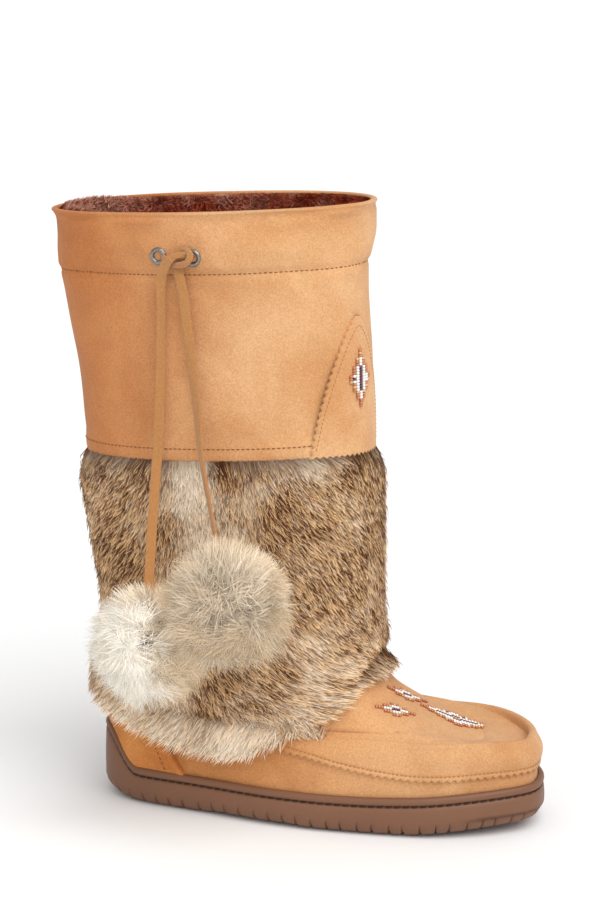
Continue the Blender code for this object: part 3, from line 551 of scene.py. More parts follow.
CORD_BROWN, CORD_TAN = (0.42, 0.175, 0.050, 1), (0.66, 0.335, 0.115, 1)
cord_finish = new_finish("woven_cord", 0.85, Specular_IOR_Level=0.3, Sheen_Weight=0.3)
build_nodes(cord_finish, [
    ("run", "Attribute", {"attribute_name": "run"}, {}),
    ("turned", "Mapping", {}, {"Vector": ("run", "Vector"), "Rotation": (0.0, 0.0, 0.62)}),
    ("other", "Mapping", {}, {"Vector": ("run", "Vector"), "Rotation": (0.0, 0.0, -0.62)}),
    ("warp", "TexWave", {}, {"Vector": ("turned", "Vector"), "Scale": 420.0}),
    ("weft", "TexWave", {}, {"Vector": ("other", "Vector"), "Scale": 420.0}),
    ("weave", "Math", {"operation": "MULTIPLY"}, {0: ("warp", "Fac"), 1: ("weft", "Fac")}),
    ("place", "TexCoord", {}, {}),
    ("fuzz", "TexNoise", {}, {"Vector": ("place", "Object"), "Scale": 900.0, "Detail": 4.0}),
    ("colour", "MixRGB", {}, {
        "Fac": ("weave", "Value"), "Color1": CORD_BROWN, "Color2": CORD_TAN,
    }),
    ("soil", "MixRGB", {"blend_type": "OVERLAY"}, {
        "Fac": 0.35, "Color1": ("colour", "Color"), "Color2": ("fuzz", "Fac"),
    }),
    ("bump", "Bump", {}, {"Height": ("weave", "Value"), "Strength": 0.7, "Distance": 0.0004}),
], {"Base Color": ("soil", "Color"), "Normal": ("bump", "Normal")})

rear_cord, rear_path, rear_length = flat_cord(
    "drawstring_rear_end", REAR_HANGING, 0.014,
    [(0, 0), (0.14, 10), (0.2, 48), (0.3, 50), (0.6, 20), (0.8, 8), (1, 12)], cord_finish,
)
front_cord, front_path, front_length = flat_cord(
    "drawstring_front_end", FRONT_HANGING, 0.040,
    [(0, 0), (0.3, 0), (0.36, 4), (0.46, -4), (0.62, -32), (0.8, -46), (1, -42)], cord_finish,
)

# The pompoms: balls of rabbit fur tied on the drawstring's ends. Long fine hair stands out of a
# wound core, pale at its tips, grey at its roots, and one has a white side.


def strands(name, root, bend, tip, side, width, tints, finish, out):
    """Hairs, each a blade of three triangles, tapered to its tip and shaded as its coat is."""
    flip = np.sign(np.sum(np.cross(2 * side, tip - root) * out, axis=-1, keepdims=True))
    half = np.where(flip < 0, -side, side) * np.asarray(width)[:, None] / 2
    points = np.stack([root - half, root + half, bend - 0.9 * half, bend + 0.9 * half, tip], 1)
    blade = np.array([[0, 1, 3], [0, 3, 2], [2, 3, 4]])
    faces = (5 * np.arange(len(root))[:, None, None] + blade).reshape(-1, 3)
    colours = np.stack([tints[0], tints[0], tints[1], tints[1], tints[2]], 1)
    shading = np.repeat(unit(out)[:, None], 5, axis=1)
    return mesh_piece(name, points, faces, finish, colours, None, shading)


def unit(vectors):
    return vectors / np.maximum(np.linalg.norm(vectors, axis=-1, keepdims=True), 1e-9)


def ripple(points, scale, seed):
    """Soft random waves, about -1 to 1, over points in metres."""
    draw = np.random.default_rng(seed)
    total = 0.0
    for _ in range(7):
        wave = draw.normal(size=3) * scale
        total = total + np.sin(points @ wave + draw.uniform(0, 2 * math.pi))
    return total / 3.0


def hair_like(name, roughness, gloss, painted_glow):
    """Finish of hair coloured along its length. It gives out painted light, standing in for the light that comes
    through it.
    """
    finish = new_finish(name, roughness, Specular_IOR_Level=gloss, Emission_Strength=painted_glow)
    steps, tint = [("tint", "Attribute", {"attribute_name": "tint"}, {})], ("tint", "Color")
    build_nodes(finish, steps, {"Base Color": tint, "Emission Color": tint})
    return finish


def srgb(*rgb):
    """Linear colour of one given in 0 to 255."""
    return (np.array(rgb) / 255.0) ** 2.2


def blend(low, high, share):
    return low + (high - low) * np.clip(share, 0.0, 1.0)[..., None]


def hump(distance, width):
    """1 at no distance, falling softly to nothing beyond the width."""
    return np.exp(-((distance / width) ** 2))


# The pompom hair and cores glow with painted light.
ball_finish = hair_like("pompom_hair", 0.62, 0.3, 0.30)
BALL_HAIRS, CORE_RADIUS, HAIR_BENT_AT = 25500, 0.0225, 0.66
TOWARD_FRONT = np.array((0.285, -0.934, 0.216))  # out of the boot's outer side, to its right and up
TO_THE_RIGHT = np.array((0.956, 0.292, 0.0))
UPWARD = np.array((-0.063, 0.207, 0.976))
AWAY_FROM_SNOW, AWAY_IN_CORE = np.array((0.956, 0.292, 0.12)), np.array((0.956, 0.292, 0.1))
# Places where the hair falls apart round a dark root, with painted shade in the gap: how far
# aside and upward, and how strong.
PARTINGS = [
    (-0.42, 0.30, 0.9), (-0.26, 0.10, 0.8), (0.10, 0.34, 1.0), (0.42, 0.22, 0.7),
    (0.02, -0.22, 0.9), (0.34, -0.30, 0.6), (-0.50, -0.40, 0.8), (-0.12, 0.80, 0.6),
    (0.95, 0.10, 0.7), (-1.10, 0.20, 0.6),
]


def fur_ball(name, centre, furthest, seed, white):
    """Pompom of hair that lies in tufts, parts in places and may be white on one side."""
    draw = np.random.default_rng(seed)
    centre = np.array(centre)
    count = BALL_HAIRS
    out = unit(draw.normal(size=(count, 3)))
    wander = np.stack([ripple(out, 3.2, seed + k) for k in (1, 2, 3)], -1)
    cell = np.round((out + 0.14 * wander) * 6.5 + draw.normal(size=(count, 3)) * 0.12) / 6.5
    swirl = np.stack([ripple(cell, 26.0, seed + k) for k in (4, 5, 6)], -1)
    lean = 0.55 * out + 0.45 * unit(cell) + 0.26 * wander + 0.30 * swirl
    lean = unit(lean + draw.normal(size=(count, 3)) * 0.10)
    parting = 0.6 * smooth((ripple(out, 5.2, seed + 7) - 0.30) / 0.42)
    for aside, upward, strength in PARTINGS:
        toward = unit(TOWARD_FRONT + aside * TO_THE_RIGHT + upward * UPWARD)
        off = out - toward
        distance = np.linalg.norm(off, axis=-1, keepdims=True)
        lean = lean + 0.95 * strength * off / distance * hump(distance - 0.13, 0.13)
        parting = np.maximum(parting, strength * hump(distance[:, 0], 0.15))
    lean = unit(lean)
    lump = 0.06 * ripple(out, 3.0, seed + 8) + 0.08 * ripple(cell, 30.0, seed + 12)
    reach = furthest * np.minimum(0.93 + lump, 1.03) * (1.0 - 0.26 * parting)
    reach = reach * (1.0 - 0.22 * draw.random(count) ** 1.5)
    root = centre + out * draw.uniform(0.012, 0.022, count)[:, None]
    tip = centre + lean * reach[:, None] - np.array((0, 0, 0.0012))
    bend = root + HAIR_BENT_AT * (tip - root) + (out - lean) * 0.005
    bend = bend + draw.normal(size=(count, 3)) * 0.0007
    side = unit(np.cross(tip - root, draw.normal(size=(count, 3))))
    pale = srgb(250, 234, 208) * draw.uniform(0.80, 1.0, (count, 1))
    sand = srgb(226, 198, 160) * draw.uniform(0.8, 1.1, (count, 1))
    grey = srgb(176, 158, 138) * draw.uniform(0.7, 1.1, (count, 1))
    dark = srgb(84, 72, 64) * draw.uniform(0.8, 1.3, (count, 1))
    fleck = draw.random(count)
    # The white ball is the lower one. Its hair is lighter all over: painted light against the upper ball's shadow on
    # it.
    if white:
        pale, sand, grey = 1.05 * pale, 1.12 * sand, 1.2 * grey
    tips = blend(pale, sand, fleck * 1.2 + 0.45 * ripple(cell, 40.0, seed + 13))
    # Round the partings the tips and middles of the hair are darkened: painted shade in the gaps, over the dark roots
    # that show there.
    tips = blend(tips, dark, parting * 0.9 * (fleck < 0.7))
    mids = blend(blend(pale, grey, 0.25 + 0.5 * fleck), dark, parting * (0.55 + 0.45 * fleck))
    roots = blend(grey, dark, 0.6)
    if white:
        snow = smooth((0.12 * ripple(out, 5.0, seed + 9) - out @ AWAY_FROM_SNOW) / 0.10)
        bright = srgb(243, 237, 226) * draw.uniform(0.84, 1.04, (count, 1))
        tips, mids, roots = (blend(part, bright, snow) for part in (tips, mids, roots))
    width = draw.uniform(0.0004, 0.0007, count)
    hair = strands(name, root, bend, tip, side, width, (roots, mids, tips), ball_finish, out)
    bpy.ops.mesh.primitive_ico_sphere_add(subdivisions=4, radius=1.0)
    core = bpy.context.object
    core.name = name + "_core"
    points = np.empty(len(core.data.vertices) * 3)
    core.data.vertices.foreach_get("co", points)
    ball = unit(points.reshape(-1, 3))
    size = CORE_RADIUS + 0.0012 * ripple(ball, 9.0, seed + 10)
    core.data.vertices.foreach_set("co", (centre + ball * size[:, None]).ravel())
    patches = 0.5 + 0.5 * ripple(ball, 8.0, seed + 11)
    shade = blend(srgb(150, 134, 114), srgb(92, 80, 68), patches)
    if white:
        snow = smooth((-0.05 - ball @ AWAY_IN_CORE) / 0.16)
        shade = blend(shade, srgb(235, 232, 226), snow)
    colours = np.concatenate([shade, np.ones((len(shade), 1))], 1).astype(np.float32)
    tint = core.data.attributes.new("tint", "FLOAT_COLOR", "POINT")
    tint.data.foreach_set("color", colours.ravel())
    core.data.materials.append(ball_finish)
    core.data.shade_smooth()
    for piece in (hair, core):
        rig.ride(piece, "root")
        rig.slot(piece, "pompom_fur")
    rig.replaces(hair, name.replace("fur_ball", "pompom"))
    return hair, core


lower_ball = fur_ball("fur_ball_lower", (0.0135, -0.0870, 0.1190), 0.0410, 20, True)
upper_ball = fur_ball("fur_ball_upper", (0.0664, -0.1020, 0.1520), 0.0430, 40, False)

for piece, node, path, length, ball in (
    (rear_cord, "drawstring_rear", rear_path, rear_length, lower_ball),
    (front_cord, "drawstring_front", front_path, front_length, upper_ball),
):
    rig.ride(piece, "root")
    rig.slot(piece, "drawstring")
    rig.replaces(piece, node, "drawstring_knot")
    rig.cord(
        piece, exit=path[0], length=length, diameter=CORD_WIDTH, far_end="fitting",
        stiffness="limp", lay="hanging", path=path, with_pieces=list(ball),
    )

# The cup sole: one moulding of chocolate-brown rubber. Its side bulges a little, carries a
# sewn groove under the lip, climbs round the heel, and is notched all round its lower edge.
EDGE_ROUND, GROOVE_DROP = 0.0105, 0.0055
NOTCH_PITCH, NOTCH_WIDTH, NOTCH_HEIGHT, NOTCH_DEPTH = 0.0094, 0.0028, 0.0085, 0.0034
RUBBER_DARK, RUBBER_LIGHT = (0.160, 0.068, 0.033, 1), (0.210, 0.094, 0.048, 1)


def sole_lift(x):
    """Height of the sole's underside over the floor, at the heel, the arch and the toe."""
    heel = HEEL_SPRING * smooth((-HEEL_FLAT / 2 - x) / (HEEL_BACK - HEEL_FLAT / 2))
    arch = ARCH_LIFT * smooth((x - HEEL_FLAT / 2) / 0.02) * smooth((BALL_FLAT_FROM - x) / 0.02)
    return toe_lift(x) + heel + arch


def rim_height(turn):
    """Height of the cup's lip, which climbs round the heel and a little at the toe."""
    x, _ = outline(turn, 0.0)
    cup = smooth((-0.016 - x) / (HEEL_BACK - 0.019))
    toe = smooth((x - 0.10) / 0.13)
    return SOLE_HEIGHT - 0.002 * (1 - toe) + TOE_SPRING * 0.75 * toe**2 + HEEL_CUP_RISE * cup


fine_turn = np.linspace(-math.pi, math.pi, 2881)
edge_x, edge_y = outline(fine_turn, 0.0)
edge_run = np.concatenate([[0.0], np.cumsum(np.hypot(np.diff(edge_x), np.diff(edge_y)))])
notch_count = int(edge_run[-1] / NOTCH_PITCH)
notch_draw = np.random.default_rng(5)
notch_place = np.arange(notch_count) + 0.5 + notch_draw.uniform(-0.1, 0.1, notch_count)
notch_at = notch_place * edge_run[-1] / notch_count
notch_size = notch_draw.uniform(0.8, 1.15, notch_count)
ACROSS_NOTCH = [(-1.0, 0.0), (-0.45, 0.55), (0.0, 1.0), (0.45, 0.55), (1.0, 0.0)]


def sole_row(inset, height, open_share, deep):
    """One closed row of the sole. Where the notches are open, their columns part and go in."""
    run, pull = [], []
    for k in range(notch_count):
        half = NOTCH_WIDTH / 2 * (0.12 + 0.88 * open_share) * notch_size[k]
        for shift, depth in ACROSS_NOTCH:
            run.append(notch_at[k] + shift * half)
            pull.append(depth * deep * min(1.0, open_share * 1.4))
        gap = (notch_at[(k + 1) % notch_count] - notch_at[k]) % edge_run[-1]
        for share in (0.34, 0.5, 0.66):
            run.append(notch_at[k] + share * gap)
            pull.append(0.0)
    turn = np.interp(np.array(run) % edge_run[-1], edge_run, fine_turn)
    x, y = outline(turn, inset + np.array(pull))
    centre_x, _ = outline(turn, 0.0)
    return np.stack([x, y, height(turn, centre_x)], -1)


def sole_side():
    """Rows of the sole's side: the rounded notched foot, the wall, the groove and the lip."""
    rows = []
    for share_in, share_up in (
        (1.0, 0.0), (0.76, 0.03), (0.55, 0.10), (0.36, 0.21), (0.20, 0.36), (0.08, 0.56),
        (0.02, 0.80),
    ):
        inset, up = share_in * EDGE_ROUND, share_up * EDGE_ROUND
        opened = max(0.0, 1.0 - up / NOTCH_HEIGHT)
        rows.append(sole_row(inset, lambda t, x, up=up: sole_lift(x) + up, opened, NOTCH_DEPTH))
    for part in (0.0, 0.25, 0.5, 0.75, 1.0):
        def height(t, x, part=part):
            low = 0.98 * EDGE_ROUND + 0.5 * sole_lift(x)
            return low + part * (rim_height(t) - GROOVE_DROP - 0.0012 - low)
        rows.append(sole_row(-0.0003 * math.sin(math.pi * part) + 0.0005 * part, height, 0.0, 0.0))
    for inset, drop in (
        (0.0010, 0.0061), (0.0019, 0.0057), (0.0020, 0.0052), (0.0013, 0.0046), (0.0005, 0.0040),
        (0.0002, 0.0030), (0.0004, 0.0017), (0.0010, 0.0006), (0.0019, 0.0001), (0.0030, 0.0),
        (0.0038, 0.0004), (0.0042, 0.0014), (0.0046, 0.0060),
    ):
        rows.append(sole_row(inset, lambda t, x, drop=drop: rim_height(t) - drop, 0.0, 0.0))
    return rows


rubber_finish = new_finish("sole_rubber", 0.52, Specular_IOR_Level=0.42)
build_nodes(rubber_finish, [
    ("place", "TexCoord", {}, {}),
    ("cloud", "TexNoise", {}, {"Vector": ("place", "Object"), "Scale": 26.0, "Detail": 5.0}),
    ("grain", "TexNoise", {}, {"Vector": ("place", "Object"), "Scale": 1500.0, "Detail": 2.0}),
    ("colour", "MixRGB", {}, {
        "Fac": ("cloud", "Fac"), "Color1": RUBBER_DARK, "Color2": RUBBER_LIGHT,
    }),
    ("gloss", "MapRange", {}, {"Value": ("cloud", "Fac"), "To Min": 0.44, "To Max": 0.62}),
    ("bump", "Bump", {}, {"Height": ("grain", "Fac"), "Strength": 0.12, "Distance": 0.0003}),
], {
    "Base Color": ("colour", "Color"), "Roughness": ("gloss", "Result"),
    "Normal": ("bump", "Normal"),
})

side_rows = sole_side()
sole = grid_piece("cup_sole", side_rows, rubber_finish, closed=True)
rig.ride(sole, "root")
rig.slot(sole, "sole_rubber")
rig.replaces(sole, "outsole")

# The tread under the sole, moulded with it in the same rubber: shallow wavy channels across it,
# inside a plain border.
CHANNEL_DEPTH, WAVE_REACH, WAVE_LENGTH = 0.0022, 0.0035, 0.016
first = side_rows[0]
half_count = len(first) // 2
left = np.roll(first, -1, axis=0)[:half_count]
right = first[::-1][:half_count]
across = np.linspace(0.0, 1.0, 41)[None, :, None]
tread = left[:, None] * (1 - across) + right[:, None] * across
wave = tread[..., 0] + WAVE_REACH * np.abs(((tread[..., 1] / WAVE_LENGTH) % 1.0) - 0.5) * 2
cut_in = smooth((np.abs((wave / NOTCH_PITCH) % 1.0 - 0.5) - 0.34) / 0.08)
border = smooth(np.minimum(across[..., 0], 1 - across[..., 0]) / 0.06)
tread[..., 2] += CHANNEL_DEPTH * cut_in * border
tread_piece = grid_piece("sole_tread", tread, rubber_finish)
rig.ride(tread_piece, "root")
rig.slot(tread_piece, "sole_rubber")


def stitch_row(name, points, normals, length, thickness, finish, sink=0.3, slant=0.0):
    """Thread stitches, each a small rounded bar lying along a line of points."""
    middle = (points[:-1] + points[1:]) / 2
    along = unit(points[1:] - points[:-1])
    out = unit((normals[:-1] + normals[1:]) / 2)
    across = np.cross(out, along)
    along = unit(along + slant * across)
    across = np.cross(out, along)
    ring = np.linspace(0, 2 * math.pi, 6, endpoint=False)
    stations = [(-0.5, 0.25), (-0.38, 0.85), (0.0, 1.0), (0.38, 0.85), (0.5, 0.25)]
    grid = []
    for share, swell in stations:
        lift = thickness * (0.5 - sink) - thickness * 1.2 * share**2
        centre = middle + along * share * length + out * lift
        for a in ring:
            grid.append(centre + (across * math.cos(a) + out * math.sin(a)) * thickness / 2 * swell)
    grid = np.stack(grid, 1)
    faces = grid_faces(len(stations), len(ring), True)
    caps = np.array([[0, 3, 2, 1], [0, 5, 4, 3]])
    last = 6 * (len(stations) - 1)
    caps = np.concatenate([caps, caps[:, ::-1] + last])
    one = np.concatenate([faces, caps])
    every = (grid.shape[1] * np.arange(len(grid))[:, None, None] + one).reshape(-1, 4)
    return mesh_piece(name, grid, every, finish)


def evenly(points, normals, pitch):
    """Points and normals at equal steps along a fine line."""
    run = np.concatenate([[0.0], np.cumsum(np.linalg.norm(np.diff(points, axis=0), axis=1))])
    count = max(2, int(round(run[-1] / pitch)) + 1)
    at = np.linspace(0.0, run[-1], count)
    place = np.stack([np.interp(at, run, points[:, k]) for k in range(3)], -1)
    normal = np.stack([np.interp(at, run, normals[:, k]) for k in range(3)], -1)
    return place, normal


def thread(name, colour):
    """Waxed thread, its plies darker and lighter than the colour."""
    finish = new_finish(name, 0.7, Specular_IOR_Level=0.4)
    build_nodes(finish, [
        ("place", "TexCoord", {}, {}),
        ("ply", "TexNoise", {}, {"Vector": ("place", "Object"), "Scale": 2600.0, "Detail": 2.0}),
        ("colour", "MixRGB", {}, {
            "Fac": ("ply", "Fac"), "Color1": (*(0.6 * colour), 1), "Color2": (*(1.35 * colour), 1),
        }),
    ], {"Base Color": ("colour", "Color")})
    return finish


# The stitching in the sole's groove: long dark stitches of thick thread, which lean a little.
GROOVE_INSET, THREAD_DROP = 0.0012, 0.0053
dark_thread = thread("dark_brown_thread", srgb(58, 38, 30))
groove_x, groove_y = outline(fine_turn, GROOVE_INSET)
groove_line = np.stack([groove_x, groove_y, rim_height(fine_turn) - THREAD_DROP], -1)
inner_x, inner_y = outline(fine_turn, 0.005)
flat = np.zeros_like(inner_x)
groove_out = unit(np.stack([groove_x - inner_x, groove_y - inner_y, flat], -1))
sole_thread = stitch_row(
    "sole_stitches", *evenly(groove_line, groove_out, 0.0052),
    length=0.0046, thickness=0.0011, finish=dark_thread, sink=0.45, slant=0.10,
)
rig.ride(sole_thread, "root")
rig.slot(sole_thread, "sole_rubber")

# The suede: split leather in light caramel, with a short nap that lies in soft patches. The leg
# panel is folded in at the collar, and a row of stitches makes the casing for the drawstring.
CASING_LEVEL, EYELET_LEVEL, PANEL_TOP = 15.5, 16.2, RIM_LEVEL - 0.10
STITCH_PITCH, STITCH_LENGTH, STITCH_THICKNESS = 0.0030, 0.0022, 0.0007


def suede(name, light, dark, seed, painted_shade_from, painted_shade_to, shade):
    """Suede with a nap in soft patches, and painted shade that deepens its colour towards the back."""
    finish = new_finish(
        name, 0.93, Specular_IOR_Level=0.18, Sheen_Weight=0.22, Sheen_Roughness=0.55,
        Sheen_Tint=(1.0, 0.86, 0.70, 1.0),
    )
    build_nodes(finish, [
        ("place", "TexCoord", {}, {}),
        ("moved", "Mapping", {}, {"Vector": ("place", "Object"), "Location": (seed, seed, seed)}),
        ("patch", "TexNoise", {}, {
            "Vector": ("moved", "Vector"), "Scale": 20.0, "Detail": 3.0, "Distortion": 0.6,
        }),
        ("mottle", "TexNoise", {}, {"Vector": ("moved", "Vector"), "Scale": 240.0, "Detail": 4.0}),
        ("nap", "TexNoise", {}, {
            "Vector": ("moved", "Vector"), "Scale": 1000.0, "Detail": 5.0, "Roughness": 0.7,
        }),
        ("mixed", "Math", {"operation": "MULTIPLY_ADD"}, {
            0: ("mottle", "Fac"), 1: 0.14, 2: ("patch", "Fac"),
        }),
        ("spread", "MapRange", {}, {
            "Value": ("mixed", "Value"), "From Min": 0.40, "From Max": 0.74,
        }),
        ("axes", "SeparateXYZ", {}, {"Vector": ("place", "Object")}),
        # Painted shade: towards the back of the piece its colour is multiplied by the shade colour.
        ("backward", "MapRange", {"interpolation_type": "SMOOTHSTEP"}, {
            "Value": ("axes", "X"), "From Min": painted_shade_from, "From Max": painted_shade_to,
            "To Min": 1.0, "To Max": 0.0,
        }),
        ("colour", "MixRGB", {}, {
            "Fac": ("spread", "Result"), "Color1": (*dark, 1), "Color2": (*light, 1),
        }),
        ("speck", "MapRange", {}, {
            "Value": ("nap", "Fac"), "From Min": 0.3, "From Max": 0.7,
            "To Min": 0.76, "To Max": 1.20,
        }),
        ("shaded", "MixRGB", {"blend_type": "MULTIPLY"}, {
            "Fac": ("backward", "Result"), "Color1": ("colour", "Color"), "Color2": (*shade, 1),
        }),
        ("napped", "MixRGB", {"blend_type": "MULTIPLY"}, {
            "Fac": 1.0, "Color1": ("shaded", "Color"), "Color2": ("speck", "Result"),
        }),
        ("bump", "Bump", {}, {"Height": ("nap", "Fac"), "Strength": 0.55, "Distance": 0.0005}),
        ("soft", "Bump", {}, {
            "Height": ("mottle", "Fac"), "Strength": 0.25, "Distance": 0.0010,
            "Normal": ("bump", "Normal"),
        }),
    ], {"Base Color": ("napped", "Color"), "Normal": ("soft", "Normal")})
    return finish


# Each suede's last three values place its painted shade towards the back, and give its colour.
leg_suede = suede(
    "leg_suede", srgb(217, 168, 121), srgb(199, 143, 95), 0.0, -0.068, 0.075, (0.72, 0.43, 0.21),
)
foot_suede = suede(
    "foot_suede", srgb(213, 163, 116), srgb(193, 140, 94), 3.1, 0.005, 0.190, (0.88, 0.68, 0.47),
)
heel_suede = suede(
    "heel_suede", srgb(220, 148, 82), srgb(182, 108, 52), 6.4, -0.070, -0.020, (0.88, 0.80, 0.72),
)

leg_turn = np.linspace(-math.pi, math.pi, 300, endpoint=False)
leg_seam = seam_level(leg_turn)
HEM_SEWN = 0.020  # share of the leg's height at which its lower hem is stitched


def leg_relief(level, turn):
    """How far the leg panel stands out of its even shape where it is pinched, puffed or creased."""
    at = level - CASING_LEVEL
    wander = np.sin(turn * 31 + 1.0) * 0.4 + np.sin(turn * 47 + 2.0) * 0.35
    wander = wander + np.sin(turn * 71) * 0.25
    pinch = -0.0013 * hump(at, 0.10)
    pucker = 0.00045 * wander * hump(at, 0.35)
    puff = 0.0013 * hump(level - 16.1, 0.5)
    rolled = 0.0010 * hump(level - RIM_LEVEL + 0.14, 0.13)
    degrees = np.degrees(turn)
    drawn = 0.0
    for side, slope in ((-99.0, -5.0), (-88.0, 5.0)):  # folds running up and down from the eyelets
        for way in (-1.0, 1.0):
            off = degrees - side - slope - way * slope * 1.3 * (level - EYELET_LEVEL)
            drawn = drawn + 0.0006 * hump(off, 2.2) * hump(level - EYELET_LEVEL, 0.6)
    waves = 0.0008 * np.sin(turn * 3 + level * 1.9) + 0.0006 * np.sin(turn * 5 - level * 2.7 + 1.0)
    waves = waves + 0.0004 * np.sin(turn * 2 + level * 6.1) * np.sin(turn * 7 + 2.0)
    doubled = 0.0013 * (1.0 - smooth((level - leg_hem_at(turn)) / 0.07))
    waves = waves * smooth((level - 13.3) / 0.5)
    return pinch + pucker + puff + rolled + drawn + waves + doubled


def leg_hem_at(turn):
    """Level where the turned-up hem over the fur thins out, above its stitching."""
    return np.interp(centred(turn), leg_turn, leg_seam) + 0.10


rows = []
for drop, offset in ((0.030, -0.0019), (0.035, 0.0001), (0.030, 0.0009), (0.010, 0.0012)):
    rows.append(surface(leg_seam - drop, leg_turn, offset))
for share in np.linspace(0.006, 1.0, 84):
    level = leg_seam + (PANEL_TOP - leg_seam) * share
    sewn = -0.0004 * hump(share - HEM_SEWN, 0.006)
    rows.append(surface(level, leg_turn, leg_relief(level, leg_turn) + sewn))
for drop, offset in (
    (0.05, -0.0002), (0.02, -0.0006), (0.0, -0.0014), (0.0, -0.0024), (0.03, -0.0032),
    (0.08, -0.0036), (0.16, -0.0037), (0.40, -0.0037), (0.50, -0.0022),
):
    rows.append(surface(RIM_LEVEL - drop, leg_turn, offset + leg_relief(PANEL_TOP, leg_turn)))
leg_panel = grid_piece("leg_panel", rows, leg_suede, closed=True)
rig.ride(leg_panel, "root")
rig.slot(leg_panel, "suede")
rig.replaces(leg_panel, "upper")

brown_thread = thread("brown_thread", srgb(138, 88, 48))
ring_turn = np.linspace(-math.pi, math.pi, 1441)
casing_line = surface(CASING_LEVEL, ring_turn, leg_relief(CASING_LEVEL, ring_turn))
casing_thread = stitch_row(
    "casing_stitches", *evenly(casing_line, facing(CASING_LEVEL, ring_turn), STITCH_PITCH),
    STITCH_LENGTH, STITCH_THICKNESS, brown_thread,
)
ring_seam = seam_level(ring_turn)
hem_level = ring_seam + (PANEL_TOP - ring_seam) * HEM_SEWN
hem_line = surface(hem_level, ring_turn, leg_relief(hem_level, ring_turn) - 0.0004)
hem_thread = stitch_row(
    "leg_hem_stitches", *evenly(hem_line, facing(hem_level, ring_turn), STITCH_PITCH),
    STITCH_LENGTH, STITCH_THICKNESS, brown_thread,
)
for piece in (casing_thread, hem_thread):
    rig.ride(piece, "root")
    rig.slot(piece, "suede")

# The foot's suede under the overlays: it comes up out of the sole's cup and shows as a strip
# below the pinked vamp and in front of the heel patch.
DRAWN_IN = 0.19


def under_apron(ring, level, turn):
    """A ring of the wall or lining, drawn in at the front where the vamp's apron is sunk."""
    over_foot = smooth((level - 4.3) / 0.8) * (1.0 - smooth((level - 9.4) / 1.4))
    front = smooth((np.cos(turn) + 0.1) / 0.4)[:, None]
    return ring + DRAWN_IN * over_foot * front * (ring.mean(axis=0) - ring)


foot_levels = np.concatenate([np.linspace(0.5, 4.0, 26), np.linspace(4.3, 10.0, 12)])
foot_rows = []
for level in foot_levels:
    ring = surface(level, leg_turn, -set_back(level))
    foot_rows.append(under_apron(ring, level, leg_turn))
foot_wall = grid_piece("foot_wall", foot_rows, foot_suede, closed=True)
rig.ride(foot_wall, "root")
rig.slot(foot_wall, "suede")

# The vamp: suede wrapped round the toe over the foot, its lower edge pinked and sewn down. Its top
# is gathered to a soft ridge round the toe, and sinks a little inside it.
VAMP_END, VAMP_TOP = 97.0, 9.5
TOOTH_PITCH, TOOTH_DEPTH, TOOTH = 0.0045, 0.0020, np.array([0.0, 0.5, 1.0, 0.5])
VAMP_STANDS, VAMP_SEWN, VAMP_FLAT = 0.0025, 0.0042, 0.0058
PINKED_EDGE = np.array([
    (0, 0.0365), (20, 0.0362), (40, 0.0358), (56, 0.0345), (68, 0.0348),
    (76, 0.0368), (84, 0.0402), (91, 0.0455), (97, 0.0500),
])


def pinked_height(turn):
    return through(PINKED_EDGE[:, 0], PINKED_EDGE[:, 1], np.abs(np.degrees(turn)))


def vamp_relief(level, turn):
    """Ridge, sunken apron and creases of the vamp."""
    degrees = np.degrees(turn)
    round_toe = 1.0 - smooth((np.abs(degrees) - 50) / 40)
    ridge = 0.0016 * hump(level - 4.92, 0.24) * round_toe
    sunk = smooth((level - 5.08) / 0.24) * (1.0 - smooth((level - 5.9) / 2.1))
    outer = 1.0 - smooth((-degrees - 10) / 42)
    inner = 1.0 - smooth((degrees - 30) / 34)
    inside = -0.0038 * sunk * np.where(degrees < 0, outer, inner)
    inside = inside - 0.0009 * hump(level - 5.34, 0.16) * round_toe
    creases = 0.0
    for turn_at, level_from, width, depth, slope in (
        (-70, 5.6, 0.22, 0.0007, 0.020), (-78, 6.6, 0.20, 0.0006, 0.025),
        (-58, 5.1, 0.16, 0.0004, 0.012), (66, 5.8, 0.22, 0.0006, -0.020),
        (80, 6.8, 0.24, 0.0006, -0.022),
    ):
        near = level - level_from - slope * (degrees - turn_at)
        creases = creases - depth * hump(near, width) * hump(degrees - turn_at, 16)
    return ridge + inside + creases


probe = np.radians(np.linspace(-VAMP_END, VAMP_END, 1601))
probe_points = body(level_at(pinked_height(probe), probe), probe)
probe_steps = np.linalg.norm(np.diff(probe_points, axis=0), axis=1)
probe_run = np.concatenate([[0.0], np.cumsum(probe_steps)])
teeth = int(round(probe_run[-1] / TOOTH_PITCH))
vamp_turn = np.interp(np.linspace(0.0, probe_run[-1], teeth * 4 + 1), probe_run, probe)
tooth = TOOTH_DEPTH * TOOTH[np.arange(len(vamp_turn)) % 4]
edge_height = pinked_height(vamp_turn)
low_edge = level_at(edge_height + tooth, vamp_turn)
rows = [surface(low_edge, vamp_turn, 0.0003), surface(low_edge, vamp_turn, 0.0019)]
for rise, offset in (
    (0.0004, 0.0024), (0.0028, VAMP_STANDS), (0.0037, 0.0021), (VAMP_SEWN, 0.0019),
    (0.0047, 0.0021), (VAMP_FLAT, VAMP_STANDS),
):
    lift = np.maximum(rise, tooth + 0.0004)
    rows.append(surface(level_at(edge_height + lift, vamp_turn), vamp_turn, offset))
first_level = level_at(edge_height + VAMP_FLAT, vamp_turn)
for share in np.linspace(0.015, 1.0, 84):
    level = first_level + (VAMP_TOP - first_level) * share
    rows.append(surface(level, vamp_turn, VAMP_STANDS + vamp_relief(level, vamp_turn)))
vamp = grid_piece("vamp_suede", rows, foot_suede)
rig.ride(vamp, "root")
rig.slot(vamp, "suede")
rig.replaces(vamp, "vamp")

